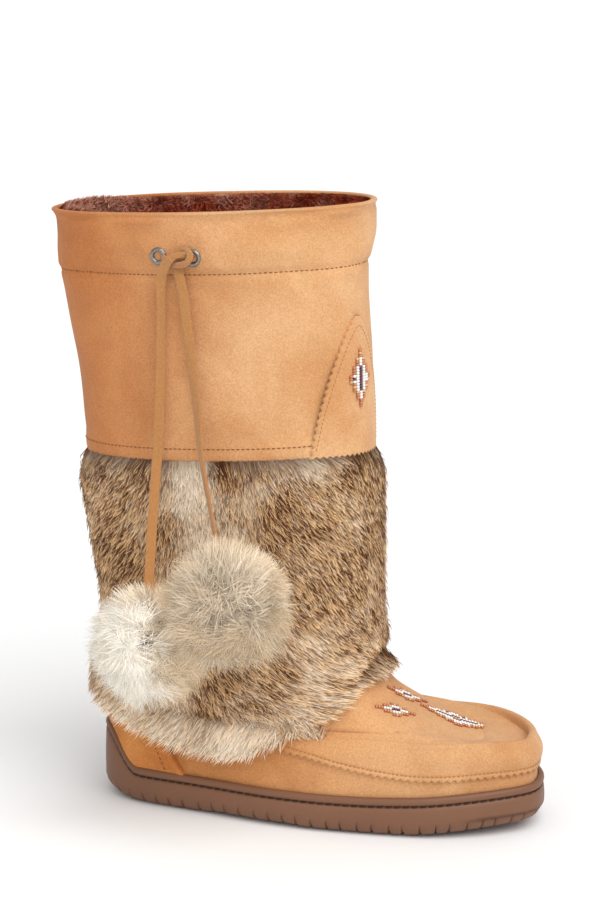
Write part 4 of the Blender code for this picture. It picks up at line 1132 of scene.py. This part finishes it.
FINE_PITCH, FINE_LENGTH = 0.0026, 0.0019
tan_thread = thread("tan_thread", srgb(176, 120, 72))
vamp_level = level_at(pinked_height(probe) + VAMP_SEWN, probe)
vamp_line = surface(vamp_level, probe, 0.0021)
vamp_thread = stitch_row(
    "vamp_stitches", *evenly(vamp_line, facing(vamp_level, probe), FINE_PITCH),
    FINE_LENGTH, 0.0006, tan_thread,
)
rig.ride(vamp_thread, "root")
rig.slot(vamp_thread, "suede")

# The heel patch: a thicker suede piece round the heel, above the sole's cup. Its front edges
# stand proud, with a row of stitch holes behind them.
COUNTER_START, COUNTER_LEAN = 119.0, 0.195
FUR_HEM = np.array([
    (0, 0.725), (20, 0.720), (40, 0.705), (62, 0.640), (74, 0.590), (84, 0.535), (91, 0.440),
    (98, 0.345), (106, 0.335), (120, 0.360), (132, 0.405), (145, 0.465), (160, 0.510), (180, 0.530),
])


def hem_height(turn):
    wrapped = centred(turn)
    return ANKLE_HEIGHT * through(FUR_HEM[:, 0], FUR_HEM[:, 1], np.abs(np.degrees(wrapped)))


COUNTER_END = 360 - COUNTER_START
heel_turn = np.radians(np.concatenate([
    [COUNTER_START - 0.5, COUNTER_START - 0.4, COUNTER_START, COUNTER_START + 0.6],
    np.linspace(COUNTER_START + 1.5, COUNTER_END - 1.5, 120),
    [COUNTER_END - 0.6, COUNTER_END, COUNTER_END + 0.4, COUNTER_END + 0.5],
]))
heel_offset = np.full(len(heel_turn), 0.0023)
edge_distance = math.radians(180.0 - COUNTER_START) - np.abs(heel_turn - math.pi)
heel_offset = heel_offset + 0.0009 * hump(np.degrees(edge_distance), 1.6)
heel_offset[:3] = (0.0, 0.0020, 0.0029)
heel_offset[-3:] = (0.0029, 0.0020, 0.0)


def heel_place(turn, share):
    """Turn and level on the patch at a share of its height. Its front edges lean backward."""
    leaning = math.pi + (turn - math.pi) * (1.0 - COUNTER_LEAN * share)
    low, high = rim_height(leaning) - 0.0004, hem_height(leaning) + 0.014
    return leaning, level_at(low + (high - low) * share, leaning)


rows = []
for share in np.linspace(0.0, 1.0, 26):
    leaning, level = heel_place(heel_turn, share)
    soft = 0.0003 * np.sin(heel_turn * 9 + share * 5) + 0.0002 * np.sin(heel_turn * 17 - share * 9)
    rows.append(surface(level, leaning, heel_offset + soft * (heel_offset > 0.002)))
heel_patch = grid_piece("heel_patch", rows, heel_suede)
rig.ride(heel_patch, "root")
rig.slot(heel_patch, "suede")
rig.replaces(heel_patch, "heel_counter")
for name, degrees in (
    ("heel_stitches_outer", COUNTER_END - 6.0), ("heel_stitches_inner", COUNTER_START + 6.0),
):
    line_turn, level = heel_place(np.full(60, math.radians(degrees)), np.linspace(0.03, 0.8, 60))
    line, line_out = surface(level, line_turn, 0.0024), facing(level, line_turn)
    piece = stitch_row(
        name, *evenly(line, line_out, 0.0034), 0.0018, STITCH_THICKNESS, brown_thread,
    )
    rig.ride(piece, "root")
    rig.slot(piece, "suede")

# The arched tab on the front of the leg: pinked all round, sewn on, and hanging a little over
# the fur at its foot.
TAB_TURN, TAB_SPREAD, TAB_HEIGHT, TAB_OVERHANG = -16.0, 32.0, 0.083, 0.0035
TAB = np.array([
    (0.00, 1.00), (0.14, 0.93), (0.28, 0.85), (0.42, 0.75), (0.56, 0.64),
    (0.70, 0.51), (0.82, 0.38), (0.92, 0.24), (1.00, 0.07),
])
TAB_STANDS, TAB_SEWN = 0.0026, 0.0034  # its rise over the leg, its stitches from its edge
tab_middle = math.radians(TAB_TURN)
tab_base = float(body(seam_level(np.array(tab_middle)), np.array(tab_middle))[2]) - TAB_OVERHANG
DEGREE = 0.00118  # length round the leg of one degree near the tab
side_height = TAB_HEIGHT * np.linspace(0.0, 1.0, 400)
side_half = TAB_SPREAD * DEGREE * through(TAB[:, 0], TAB[:, 1], np.linspace(0.0, 1.0, 400))
side_run = np.concatenate([[0.0], np.cumsum(np.hypot(np.diff(side_height), np.diff(side_half)))])
tab_teeth = int(round(side_run[-1] / TOOTH_PITCH))
tab_rise = np.interp(np.linspace(0.0, side_run[-1], tab_teeth * 4 + 1), side_run, side_height)
tab_half = np.interp(tab_rise, side_height, side_half)
foot_teeth = int(round(2 * tab_half[0] / TOOTH_PITCH))
inner_shares = np.linspace(-1.0, 1.0, foot_teeth * 4 + 1)


def tab_point(rise, sideways, offset):
    turn = tab_middle + np.radians(sideways / DEGREE)
    level = level_at(tab_base + rise, turn)
    return surface(level, turn, offset)


rows = []
for k, (rise, half) in enumerate(zip(tab_rise, tab_half)):
    notch = TOOTH_DEPTH * TOOTH[k % 4]
    inner = half - min(0.0026, 0.45 * half)
    sideways = np.concatenate([
        [-half + notch * 0.8] * 2, inner * inner_shares, [half - notch * 0.8] * 2,
    ])
    lift = np.zeros(len(sideways))
    if k == 0:
        lift[2:-2] = TOOTH_DEPTH * TOOTH[np.arange(len(inner_shares)) % 4]
    offset = np.full(len(sideways), TAB_STANDS)
    offset[[0, -1]] = 0.0004
    offset[[1, -2]] = 0.0020
    rows.append(tab_point(rise + lift, sideways, offset))
under = facing(level_at(tab_base, np.array([tab_middle])), np.array([tab_middle]))[0]
rows.insert(0, rows[0] - under * 0.0016)
tab = grid_piece("front_tab_suede", rows, leg_suede)
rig.ride(tab, "root")
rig.slot(tab, "suede")
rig.replaces(tab, "front_tab")
trace = np.linspace(0.06, 0.985, 300)
trace_half = np.interp(trace * TAB_HEIGHT, side_height, side_half) - TAB_SEWN
rise_line = np.concatenate([trace, trace[::-1]]) * (TAB_HEIGHT - 0.004)
side_line = np.concatenate([-np.maximum(trace_half, 0.0), np.maximum(trace_half, 0.0)[::-1]])
tab_line = tab_point(rise_line, side_line, TAB_STANDS)
line_turn = tab_middle + np.radians(side_line / DEGREE)
tab_out = facing(level_at(tab_base + rise_line, line_turn), line_turn)
tab_thread = stitch_row(
    "tab_stitches", *evenly(tab_line, tab_out, FINE_PITCH), FINE_LENGTH, 0.0005, tan_thread,
)
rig.ride(tab_thread, "root")
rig.slot(tab_thread, "suede")

# The beadwork: glass seed beads sewn down in stepped diamonds, one on the tab, two small ones and
# a long one on the vamp. Each step is three beads long.
BEAD_WIDE, BEAD_RADIUS, BEAD_LIFT, BEAD_SIDES = 0.00212, 0.00098, 0.00075, 9


def glass(name, colour, metallic=0.0, roughness=0.22):
    """Shiny glass, or glass lined with metal, a little lighter and darker from bead to bead."""
    finish = new_finish(
        name, roughness, Coat_Weight=0.6, Coat_Roughness=0.1, Metallic=metallic,
    )
    build_nodes(finish, [
        ("place", "TexCoord", {}, {}),
        ("lot", "TexNoise", {}, {"Vector": ("place", "Object"), "Scale": 620.0, "Detail": 1.0}),
        ("colour", "MixRGB", {}, {
            "Fac": ("lot", "Fac"), "Color1": (*(0.75 * colour), 1),
            "Color2": (*np.minimum(1.2 * colour, 1.0), 1),
        }),
    ], {"Base Color": ("colour", "Color")})
    return finish


bead_finishes = [
    glass("copper_beads", srgb(196, 122, 84), 0.35, 0.3), glass("white_beads", srgb(250, 244, 232)),
    glass("burgundy_beads", srgb(104, 34, 52)), glass("gold_beads", srgb(214, 172, 118), 0.3, 0.3),
    glass("dark_beads", srgb(66, 50, 50)),
]
COPPER, WHITE, BURGUNDY, GOLD, DARK = range(5)


def stepped_diamond(steps):
    """Places along, places across and colours of a diamond of beads."""
    found = []
    for step in range(steps):
        half = min(step, steps - 1 - step)
        for bead in range(3):
            for a in range(-half, half + 1):
                ring = half - abs(a)
                colour = (COPPER, WHITE, BURGUNDY, BURGUNDY, GOLD)[ring]
                if ring == 0 and (step + bead) % 4 == 3:
                    colour = GOLD
                if ring == 2 and half > 2:
                    colour = DARK if (step + a) % 2 else WHITE
                if ring == 2 and half == 2 and steps > 5:
                    colour = DARK if bead == 1 else BURGUNDY
                if ring == 1 and half == 3 and bead == 1 and a == 2:
                    colour = BURGUNDY
                found.append((3 * step + bead - (3 * steps - 1) / 2, a, colour))
    return found


def seed_beads(name, carrier, start, end, steps, spread=1.0):
    """A diamond of beads, each a rounded tube with its hole along the diamond, sat on the suede."""
    tree = BVHTree.FromObject(carrier, bpy.context.evaluated_depsgraph_get())
    start, end = Vector(start), Vector(end)
    length = (end - start).length
    along = (end - start).normalized()
    _, normal, _, _ = tree.find_nearest((start + end) / 2)
    across = normal.cross(along).normalized()
    pitch = length / (3 * steps)
    ring = BEAD_SIDES
    wide = BEAD_WIDE * spread
    profile = [(0.42, -0.44), (0.82, -0.46), (1.0, -0.22), (1.0, 0.22), (0.82, 0.46), (0.42, 0.44)]
    points, faces, picks = [], [], []
    for place, side, colour in stepped_diamond(steps):
        guess = (start + end) / 2 + along * place * pitch + across * side * wide
        spot, out, _, _ = tree.find_nearest(guess)
        tangent = (along - out * along.dot(out)).normalized()
        lateral = out.cross(tangent)
        centre = spot + out * BEAD_LIFT
        base = len(points)
        for radius, shift in profile:
            for k in range(ring):
                angle = 2 * math.pi * k / ring
                spoke = lateral * math.cos(angle) + out * math.sin(angle)
                shell = spoke * radius * BEAD_RADIUS * spread
                points.append(centre + tangent * shift * pitch * 0.98 + shell)
        for r in range(len(profile)):
            for k in range(ring):
                m, here = (k + 1) % ring, base + r * ring
                there = base + (r + 1) % len(profile) * ring
                faces.append((here + k, there + k, there + m, here + m))
                picks.append(colour)
    piece = mesh_piece(name, np.array(points), np.array(faces), bead_finishes[0])
    for finish in bead_finishes[1:]:
        piece.data.materials.append(finish)
    piece.data.polygons.foreach_set("material_index", np.array(picks, dtype=np.int32))
    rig.ride(piece, "root")
    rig.slot(piece, "suede")
    return piece


seed_beads("toe_beads", vamp, (0.1556, 0.0039, 0.0718), (0.1966, 0.0238, 0.0571), 9)
seed_beads("vamp_beads_outer", vamp, (0.1348, -0.0281, 0.0761), (0.1568, -0.0132, 0.0702), 5)
seed_beads("vamp_beads_inner", vamp, (0.1371, -0.0079, 0.0823), (0.1571, 0.0148, 0.0703), 5)
tab_low, tab_high = tab_point(np.array([0.029, 0.0635]), np.zeros(2), TAB_STANDS)
seed_beads("tab_beads", tab, tab_low, tab_high, 7, 1.16)

# The eyelets: pressed metal in antique silver, a rolled flange outside and a barrel through.
EYELET_TURNS, EYELET_HEIGHT = (-99.0, -88.0), 0.343
EYELET_RADIUS, EYELET_BORE = 0.0052, 0.0025
EYELET_SIDES, BARREL_DEPTH = 40, 0.0030
silver_finish = new_finish("antique_silver", 0.34, Metallic=0.95)
build_nodes(silver_finish, [
    ("place", "TexCoord", {}, {}),
    ("patina", "TexNoise", {}, {"Vector": ("place", "Object"), "Scale": 900.0, "Detail": 4.0}),
    ("colour", "MixRGB", {}, {
        "Fac": ("patina", "Fac"), "Color1": (0.10, 0.09, 0.08, 1), "Color2": (0.42, 0.40, 0.38, 1),
    }),
], {"Base Color": ("colour", "Color")})
for name, degrees in zip(("eyelet_rear", "eyelet_front"), EYELET_TURNS):
    seat_turn = np.radians(np.array([degrees]))
    seat_level = level_at(EYELET_HEIGHT, seat_turn)
    seat = surface(seat_level, seat_turn, leg_relief(seat_level, seat_turn))[0]
    axis = Vector(facing(seat_level, seat_turn)[0])
    turned = np.array(axis.to_track_quat("Z", "Y").to_matrix())
    loop = np.linspace(0, 2 * math.pi, EYELET_SIDES, endpoint=False)
    rings = []
    for radius, height in (
        (EYELET_BORE, -BARREL_DEPTH), (EYELET_BORE, 0.0002), (EYELET_BORE + 0.0002, 0.0009),
        (EYELET_BORE + 0.0007, 0.0014), (EYELET_BORE + 0.0012, 0.0015),
        (EYELET_RADIUS - 0.0005, 0.0012), (EYELET_RADIUS - 0.0001, 0.0007),
        (EYELET_RADIUS, 0.0002), (EYELET_RADIUS - 0.0004, 0.0), (EYELET_BORE + 0.0006, -0.0002),
        (EYELET_BORE + 0.0005, -BARREL_DEPTH),
    ):
        level = np.full(EYELET_SIDES, height)
        local = np.stack([radius * np.cos(loop), radius * np.sin(loop), level], -1)
        rings.append(seat + local @ turned.T)
    piece = grid_piece(name + "_metal", [*rings, rings[0]], silver_finish, closed=True)
    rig.ride(piece, "root")
    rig.slot(piece, "antique_silver")
    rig.replaces(piece, name)

# The lining: deep plush in dark burgundy brown with rose-pink tips, glued to the leather from the
# collar down to the footbed. Towards the back of the collar the pink is also a painted highlight.
# The plush glows with painted light, on the lining, its hair and the footbed.
plush_finish = hair_like("plush", 0.9, 0.1, 0.10)
PLUSH_HAIRS, PLUSH_LOWEST, PLUSH_BENT_AT = 24000, 12.0, 0.62
PLUSH_DARK, PLUSH_MID, PLUSH_ROSE = srgb(122, 36, 18), srgb(186, 84, 50), srgb(252, 202, 174)
lining_turn = np.linspace(-math.pi, math.pi, 150, endpoint=False)
lining_rows, lining_tint = [], []
for level in np.concatenate([[RIM_LEVEL - 0.2], np.linspace(RIM_LEVEL - 0.6, 0.6, 60)]):
    ring = surface(level, lining_turn, -set_back(level) - WALL - 0.0014)
    soft = ripple(ring, 260.0, 60)
    inset = set_back(level) + WALL + 0.0016 + 0.0006 * soft
    lining_rows.append(under_apron(surface(level, lining_turn, -inset), level, lining_turn))
    lining_tint.append(blend(PLUSH_DARK, PLUSH_MID, 0.4 + 0.4 * soft))
lining_rows.reverse()
lining_tint.reverse()
lining_faces = grid_faces(len(lining_rows), len(lining_turn), True)[:, ::-1]
lining = mesh_piece("lining", lining_rows, lining_faces, plush_finish, np.array(lining_tint))
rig.ride(lining, "root")
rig.slot(lining, "fleece")

draw = np.random.default_rng(61)
count = PLUSH_HAIRS
level = RIM_LEVEL - 0.22 - np.abs(draw.normal(size=count)) * 0.95
level = np.maximum(level, PLUSH_LOWEST)
turn = draw.uniform(-math.pi, math.pi, count)
root = surface(level, turn, -WALL - 0.0012)
inward = -facing(level, turn)
tuft = np.stack([ripple(np.round(root * 260) / 260, 900.0, 62 + k) for k in range(3)], -1)
lean = unit(0.60 * tuft + np.array((0, 0, 0.45)) + 0.35 * draw.normal(size=(count, 3)))
inwards = np.sum(lean * inward, axis=-1, keepdims=True)
lean = unit(lean + inward * np.maximum(0.75 - inwards, 0.2))
length = draw.uniform(0.0060, 0.0105, count)
tip = root + lean * length[:, None]
degrees = np.degrees(turn)
fuzz = 0.0042 * smooth((np.abs(degrees) - 118) / 34)  # hair that rises over the rim at its rear
ceiling = body(RIM_LEVEL, turn)[:, 2] - 0.0012 + fuzz + draw.uniform(-0.001, 0.0006, count)
tip[:, 2] = np.minimum(tip[:, 2], ceiling)
bend = root + PLUSH_BENT_AT * (tip - root) + inward * 0.0008
side = unit(np.cross(tip - root, draw.normal(size=(count, 3))))
# Tips turn rose-pink here and there, and more towards the back of the collar, where the pink is a painted highlight on
# the lit inner wall.
rose_and_highlight = smooth(0.18 + 0.45 * ripple(root, 110.0, 66) + 0.35 * (np.abs(degrees + 150) < 45))
rose_and_highlight = np.clip(rose_and_highlight + 0.8 * smooth((np.abs(degrees) - 112) / 34), 0, 1)
rose_and_highlight = rose_and_highlight * draw.uniform(0.3, 1.0, count)
tips = blend(blend(PLUSH_DARK, PLUSH_MID, draw.random(count)), PLUSH_ROSE, rose_and_highlight)
mids = blend(PLUSH_DARK, tips, 0.6)
roots = np.broadcast_to(PLUSH_DARK, tips.shape)
width = draw.uniform(0.0006, 0.0011, count)
plush = strands(
    "lining_plush", root, bend, tip, side, width, (roots, mids, tips), plush_finish,
    inward + 0.6 * tuft,
)
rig.ride(plush, "root")
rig.slot(plush, "fleece")

# The footbed: a loose insole cut to the inside of the foot, topped with the same plush as the
# lining. It lies on the sole's floor and takes out.
bed_turn = np.linspace(-math.pi, math.pi, 200, endpoint=False)
bed_rows, bed_tint = [], []
for inset, rise in (
    (0.0, 0.0003), (0.0, 0.0038), (0.0005, 0.0046), (0.0014, 0.0050), (0.006, 0.0050),
    (0.012, 0.0050), (0.019, 0.0050), (0.026, 0.0050), (0.031, 0.0050),
):
    x, y = outline(bed_turn, CUP_WALL + 2 * GAP + WALL + inset)
    ring = np.stack([x, y, bed_height(x) + rise], -1)
    soft = ripple(ring, 300.0, 70)
    ring[:, 2] += 0.0003 * soft
    bed_rows.append(ring)
    bed_tint.append(blend(PLUSH_DARK, PLUSH_MID, 0.6 + 0.4 * soft))
middle = bed_rows[-1].copy()
middle[:, 1] = 0.002
bed_rows.append(middle)
bed_tint.append(bed_tint[-1])
footbed = grid_piece("footbed", bed_rows, plush_finish, closed=True, tint=np.array(bed_tint))
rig.ride(footbed, "root")
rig.slot(footbed, "fleece")
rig.replaces(footbed, "insole")

# The fur band: rabbit pelt round the ankle, sewn under the leg panel's edge. The hair lies
# downwards and stands out, banded dark and cream, and its tips hang ragged over the foot.
# The rabbit hair and the underfur glow with painted light.
hair_finish = hair_like("rabbit_hair", 0.62, 0.3, 0.27)
PELT_STEP, BENT_AT, ROOT_DEPTH, HEM_CLEAR = 0.001, 0.62, 0.0006, 0.0095
LEG_RADIUS, ALONG_DEGREE = 0.062, 0.0011  # for hair that lies aside, and for its tufts
pelt_turns = np.radians(np.arange(-180, 181, 1.0))
pelt_downs = np.arange(-0.006, 0.232, PELT_STEP)
fine_levels = np.linspace(0, RIM_LEVEL, 721)
profile = body(fine_levels[:, None], pelt_turns[None, :])
climb = np.cumsum(np.linalg.norm(np.diff(profile, axis=0), axis=-1), 0)
climb = np.concatenate([np.zeros((1, len(pelt_turns))), climb])
pelt_seam = seam_level(pelt_turns)
pelt_levels = np.empty((len(pelt_downs), len(pelt_turns)))
for j in range(len(pelt_turns)):
    seam_climb = np.interp(pelt_seam[j], fine_levels, climb[:, j])
    pelt_levels[:, j] = np.interp(seam_climb - pelt_downs, climb[:, j], fine_levels)
pelt_points, pelt_normals = body(pelt_levels, pelt_turns), facing(pelt_levels, pelt_turns)
hem_down = np.array([
    np.interp(-hem, -heights, pelt_downs)
    for hem, heights in zip(hem_height(pelt_turns), pelt_points[..., 2].T)
])


def on_pelt(down, turn, offset):
    """Points at a distance down the pelt from its top seam, standing out from the leather."""
    r = np.clip((down - pelt_downs[0]) / PELT_STEP, 0, len(pelt_downs) - 1.001)
    c = np.clip((turn + math.pi) / math.radians(1.0), 0, 359.999)
    i, j = r.astype(int), c.astype(int)
    u, v = (r - i)[..., None], (c - j)[..., None]

    def mix(table):
        low = table[i, j] * (1 - v) + table[i, j + 1] * v
        high = table[i + 1, j] * (1 - v) + table[i + 1, j + 1] * v
        return low * (1 - u) + high * u

    return mix(pelt_points) + mix(pelt_normals) * np.asarray(offset)[..., None], mix(pelt_normals)


# The crease across the front of the ankle: how far down the pelt it runs, by degrees of turn.
FOLD = [
    (-60, 0.156), (-50, 0.149), (-22, 0.134), (-4, 0.131), (10, 0.132), (40, 0.140), (60, 0.15),
]


def fold_depth(down, turn):
    """1 in the middle of the crease where the ankle bends, and 0 away from it."""
    degrees = np.degrees(turn)
    line = np.interp(degrees, *zip(*FOLD))
    ends = smooth((degrees + 62) / 22) * smooth((62 - degrees) / 22)
    return hump(down - line, 0.0055) * ends


def pelt_height(down, turn):
    """How far the hair's tips stand out of the leather, more so at the hem and behind."""
    hem = np.interp(turn, pelt_turns, hem_down)
    full = 0.0014 + 0.0068 * smooth((down + 0.002) / 0.026)
    hang = 0.0018 * smooth((down - hem + 0.045) / 0.03)
    behind = smooth((np.abs(np.degrees(turn)) - 122) / 30)
    flare = 0.0042 * behind * smooth((down - hem + 0.055) / 0.035)
    return full + hang + flare - 0.0055 * fold_depth(down, turn)


# The hair's slant towards the toe in degrees, by degrees of turn, over the pelt and at its hem.
SLANT = [
    (-180, -8), (-155, -26), (-138, -32), (-120, -32), (-106, -12), (-94, 0), (-80, 8), (-66, 28),
    (-50, 36), (-30, 36), (-16, 14), (0, 0),
]
HEM_SLANT = [
    (-180, -10), (-150, -38), (-120, -40), (-104, -26), (-90, -12), (-78, 18), (-64, 40),
    (-40, 42), (-10, 12), (0, 0),
]


def pelt_slant(down, turn):
    """Angle at which the hair lies off the straight way down, towards the toe."""
    degrees = -np.abs(np.degrees(turn))
    hem = np.interp(turn, pelt_turns, hem_down)
    low = smooth((down - hem + 0.045) / 0.03)
    over, at_hem = (np.interp(degrees, *zip(*table)) for table in (SLANT, HEM_SLANT))
    return np.radians(over * (1 - low) + at_hem * low) * np.where(turn > 0, -1.0, 1.0)


HAIR_DARK, HAIR_BROWN, HAIR_TAN = srgb(72, 40, 20), srgb(140, 88, 48), srgb(255, 207, 147)
HAIR_CREAM, HAIR_GREY = srgb(255, 244, 222), srgb(188, 168, 146)
# Pale and dark places in the coat: turn, distance down, width in degrees, height and strength.
PALE_PLACES = [
    (-93, 0.012, 11, 0.030, 0.9), (-92, 0.050, 9, 0.040, 0.75), (-45, 0.004, 22, 0.012, 0.55),
    (-128, 0.006, 14, 0.012, 0.45), (-118, 0.180, 22, 0.030, 0.45), (-146, 0.168, 14, 0.018, 0.4),
    (-100, 0.196, 14, 0.018, 0.6), (-84, 0.014, 3.5, 0.010, -1.1), (-128, 0.060, 16, 0.050, -0.45),
    (-60, 0.135, 14, 0.016, 0.35), (-12, 0.040, 14, 0.050, -0.30), (-32, 0.150, 18, 0.010, 0.30),
    (40, 0.060, 22, 0.050, -0.35), (95, 0.030, 14, 0.040, 0.5), (150, 0.060, 18, 0.050, -0.4),
    (178, 0.110, 14, 0.040, 0.3), (120, 0.150, 20, 0.030, 0.35),
]


def paleness(down, turn, points):
    """From about -1, dark, to 1, cream, over the pelt, with painted shade in the ankle's crease."""
    degrees = np.degrees(turn)
    total = 0.22 * ripple(points, 95.0, 80) + 0.18 * ripple(points, 230.0, 81)
    for at_turn, at_down, wide, tall, amount in PALE_PLACES:
        off = -(((degrees - at_turn) / wide) ** 2) - ((down - at_down) / tall) ** 2
        total = total + amount * np.exp(off)
    hem = np.interp(turn, pelt_turns, hem_down)
    total = total + 0.35 * smooth((down - hem + 0.030) / 0.025)
    # Painted shade: the hair is darker in the crease across the front of the ankle.
    return total - 0.9 * fold_depth(down, turn)


def pelt_sector(name, low, high, count, seed):
    """Hair of one part of the pelt, between two turns in degrees, lying in tufts."""
    draw = np.random.default_rng(seed)
    turn = np.radians(draw.uniform(low, high, count))
    hem = np.interp(turn, pelt_turns, hem_down)
    length = draw.uniform(0.0085, 0.0130, count)
    down = ROOT_DEPTH + (hem - HEM_CLEAR - ROOT_DEPTH) * draw.random(count)
    cell_turn = np.round(np.degrees(turn) / 1.3 + 0.8 * np.sin(down * 900.0)) * 1.3
    cell_down = np.round(down / 0.0030 + 0.8 * np.sin(turn * 70.0)) * 0.0030
    cell = np.stack([cell_turn * ALONG_DEGREE, cell_down, np.zeros(count)], -1)
    slant = pelt_slant(down, turn) + 0.10 * ripple(cell, 70.0, 83) + 0.20 * ripple(cell, 1900.0, 84)
    slant = slant + 0.15 * draw.normal(size=count)
    tuft = 0.45 * ripple(cell, 2300.0, 85)
    tone = ripple(cell, 2700.0, 88)
    depth = ROOT_DEPTH + 0.0030 * draw.random(count) * smooth(down / 0.02 + 0.2)
    root, normal = on_pelt(down, turn, depth)
    tip_down = down + length * np.cos(slant) * (1 + 0.18 * tuft)
    tip_turn = turn + length * np.sin(slant) / LEG_RADIUS
    tip_turn = tip_turn + (np.radians(cell_turn) - turn) * 0.5
    loose = 0.0024 * draw.random(count) * (draw.random(count) < 0.06)
    stand = pelt_height(tip_down, turn) * (0.74 + 0.34 * draw.random(count))
    stand = stand + 0.0010 * tuft + loose
    tip_turn = centred(tip_turn)
    tip, _ = on_pelt(tip_down, tip_turn, stand)
    step = centred(tip_turn - turn)
    bend_turn = centred(turn + BENT_AT * step)
    bend_down = down + BENT_AT * (tip_down - down)
    bend, _ = on_pelt(bend_down, bend_turn, stand * 0.86 + 0.0003)
    side = unit(np.cross(tip - root, normal + 0.35 * draw.normal(size=(count, 3))))
    pale = paleness(tip_down, turn, tip) + 0.22 * ripple(cell, 1100.0, 86)
    kind = draw.random(count)
    cream = 0.15 + 0.75 * pale + 0.25 * draw.normal(size=count)
    deep = 0.45 - 0.8 * pale + 0.3 * draw.normal(size=count)
    banded, dusky = blend(HAIR_TAN, HAIR_CREAM, cream), blend(HAIR_BROWN, HAIR_DARK, deep)
    light_share = 0.60 + 0.34 * pale + 0.34 * tone
    tips = np.where((kind < light_share)[:, None], banded, blend(dusky, HAIR_GREY, 0.8 * pale))
    mids = blend(tips, blend(HAIR_DARK, HAIR_GREY, 0.10 + 0.6 * pale), 0.72)
    roots = blend(HAIR_DARK, HAIR_GREY, 0.15 + 0.4 * pale)
    width = draw.uniform(0.00045, 0.00080, count)
    lit = normal + 0.35 * unit(bend - root) + 0.18 * draw.normal(size=(count, 3))
    piece = strands(name, root, bend, tip, side, width, (roots, mids, tips), hair_finish, lit)
    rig.ride(piece, "root")
    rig.slot(piece, "fur")
    return piece


# The underfur: the short dense wool beneath the hair, as one soft skin over the leather, which
# closes under the hem.
under_turn = np.radians(np.linspace(-180.0, 180.0, 241))[:-1]
under_hem = np.interp(under_turn, pelt_turns, hem_down) - 0.006
under_rows, under_tint = [], []
for share in np.linspace(0.0, 1.0, 70):
    down = -0.001 + (under_hem + 0.001) * share
    lift = pelt_height(down, under_turn) * 0.60 * smooth((down - 0.001) / 0.010)
    lift = lift - 0.0012 * (share == 1.0) - 0.0010 * (down < 0.003)
    ring, _ = on_pelt(down, under_turn, lift)
    soft = ripple(ring, 420.0, 87)
    ring, _ = on_pelt(down, under_turn, lift + 0.0005 * soft * (down > 0.004))
    pale = paleness(down, under_turn, ring)
    under_rows.append(ring)
    wool = blend(HAIR_DARK, HAIR_BROWN, 0.7 + 0.5 * pale)
    under_tint.append(blend(wool, HAIR_TAN, pale - 0.2))
ring, _ = on_pelt(under_hem, under_turn, np.full(len(under_turn), 0.0032))
under_rows.append(ring)
# The closing ring under the hem is darker: painted shade under the hair.
under_tint.append(under_tint[-1] * 0.6)
under_rows.reverse()
under_tint.reverse()
underfur = grid_piece("underfur", under_rows, hair_finish, closed=True, tint=np.array(under_tint))
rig.ride(underfur, "root")
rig.slot(underfur, "fur")
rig.replaces(underfur, "fur_band")
pelt_sector("fur_outer_side", -156.0, -36.0, 64000, 90)
pelt_sector("fur_front_inner", -36.0, 84.0, 40000, 91)
pelt_sector("fur_back_inner", 84.0, 204.0, 34000, 92)

model_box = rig.bounds()
boxes = {name: [[float(v) for v in corner] for corner in box] for name, box in (("cad", cad_box), ("model", model_box))}
with open("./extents.json", "w") as out:
    json.dump(boxes, out)
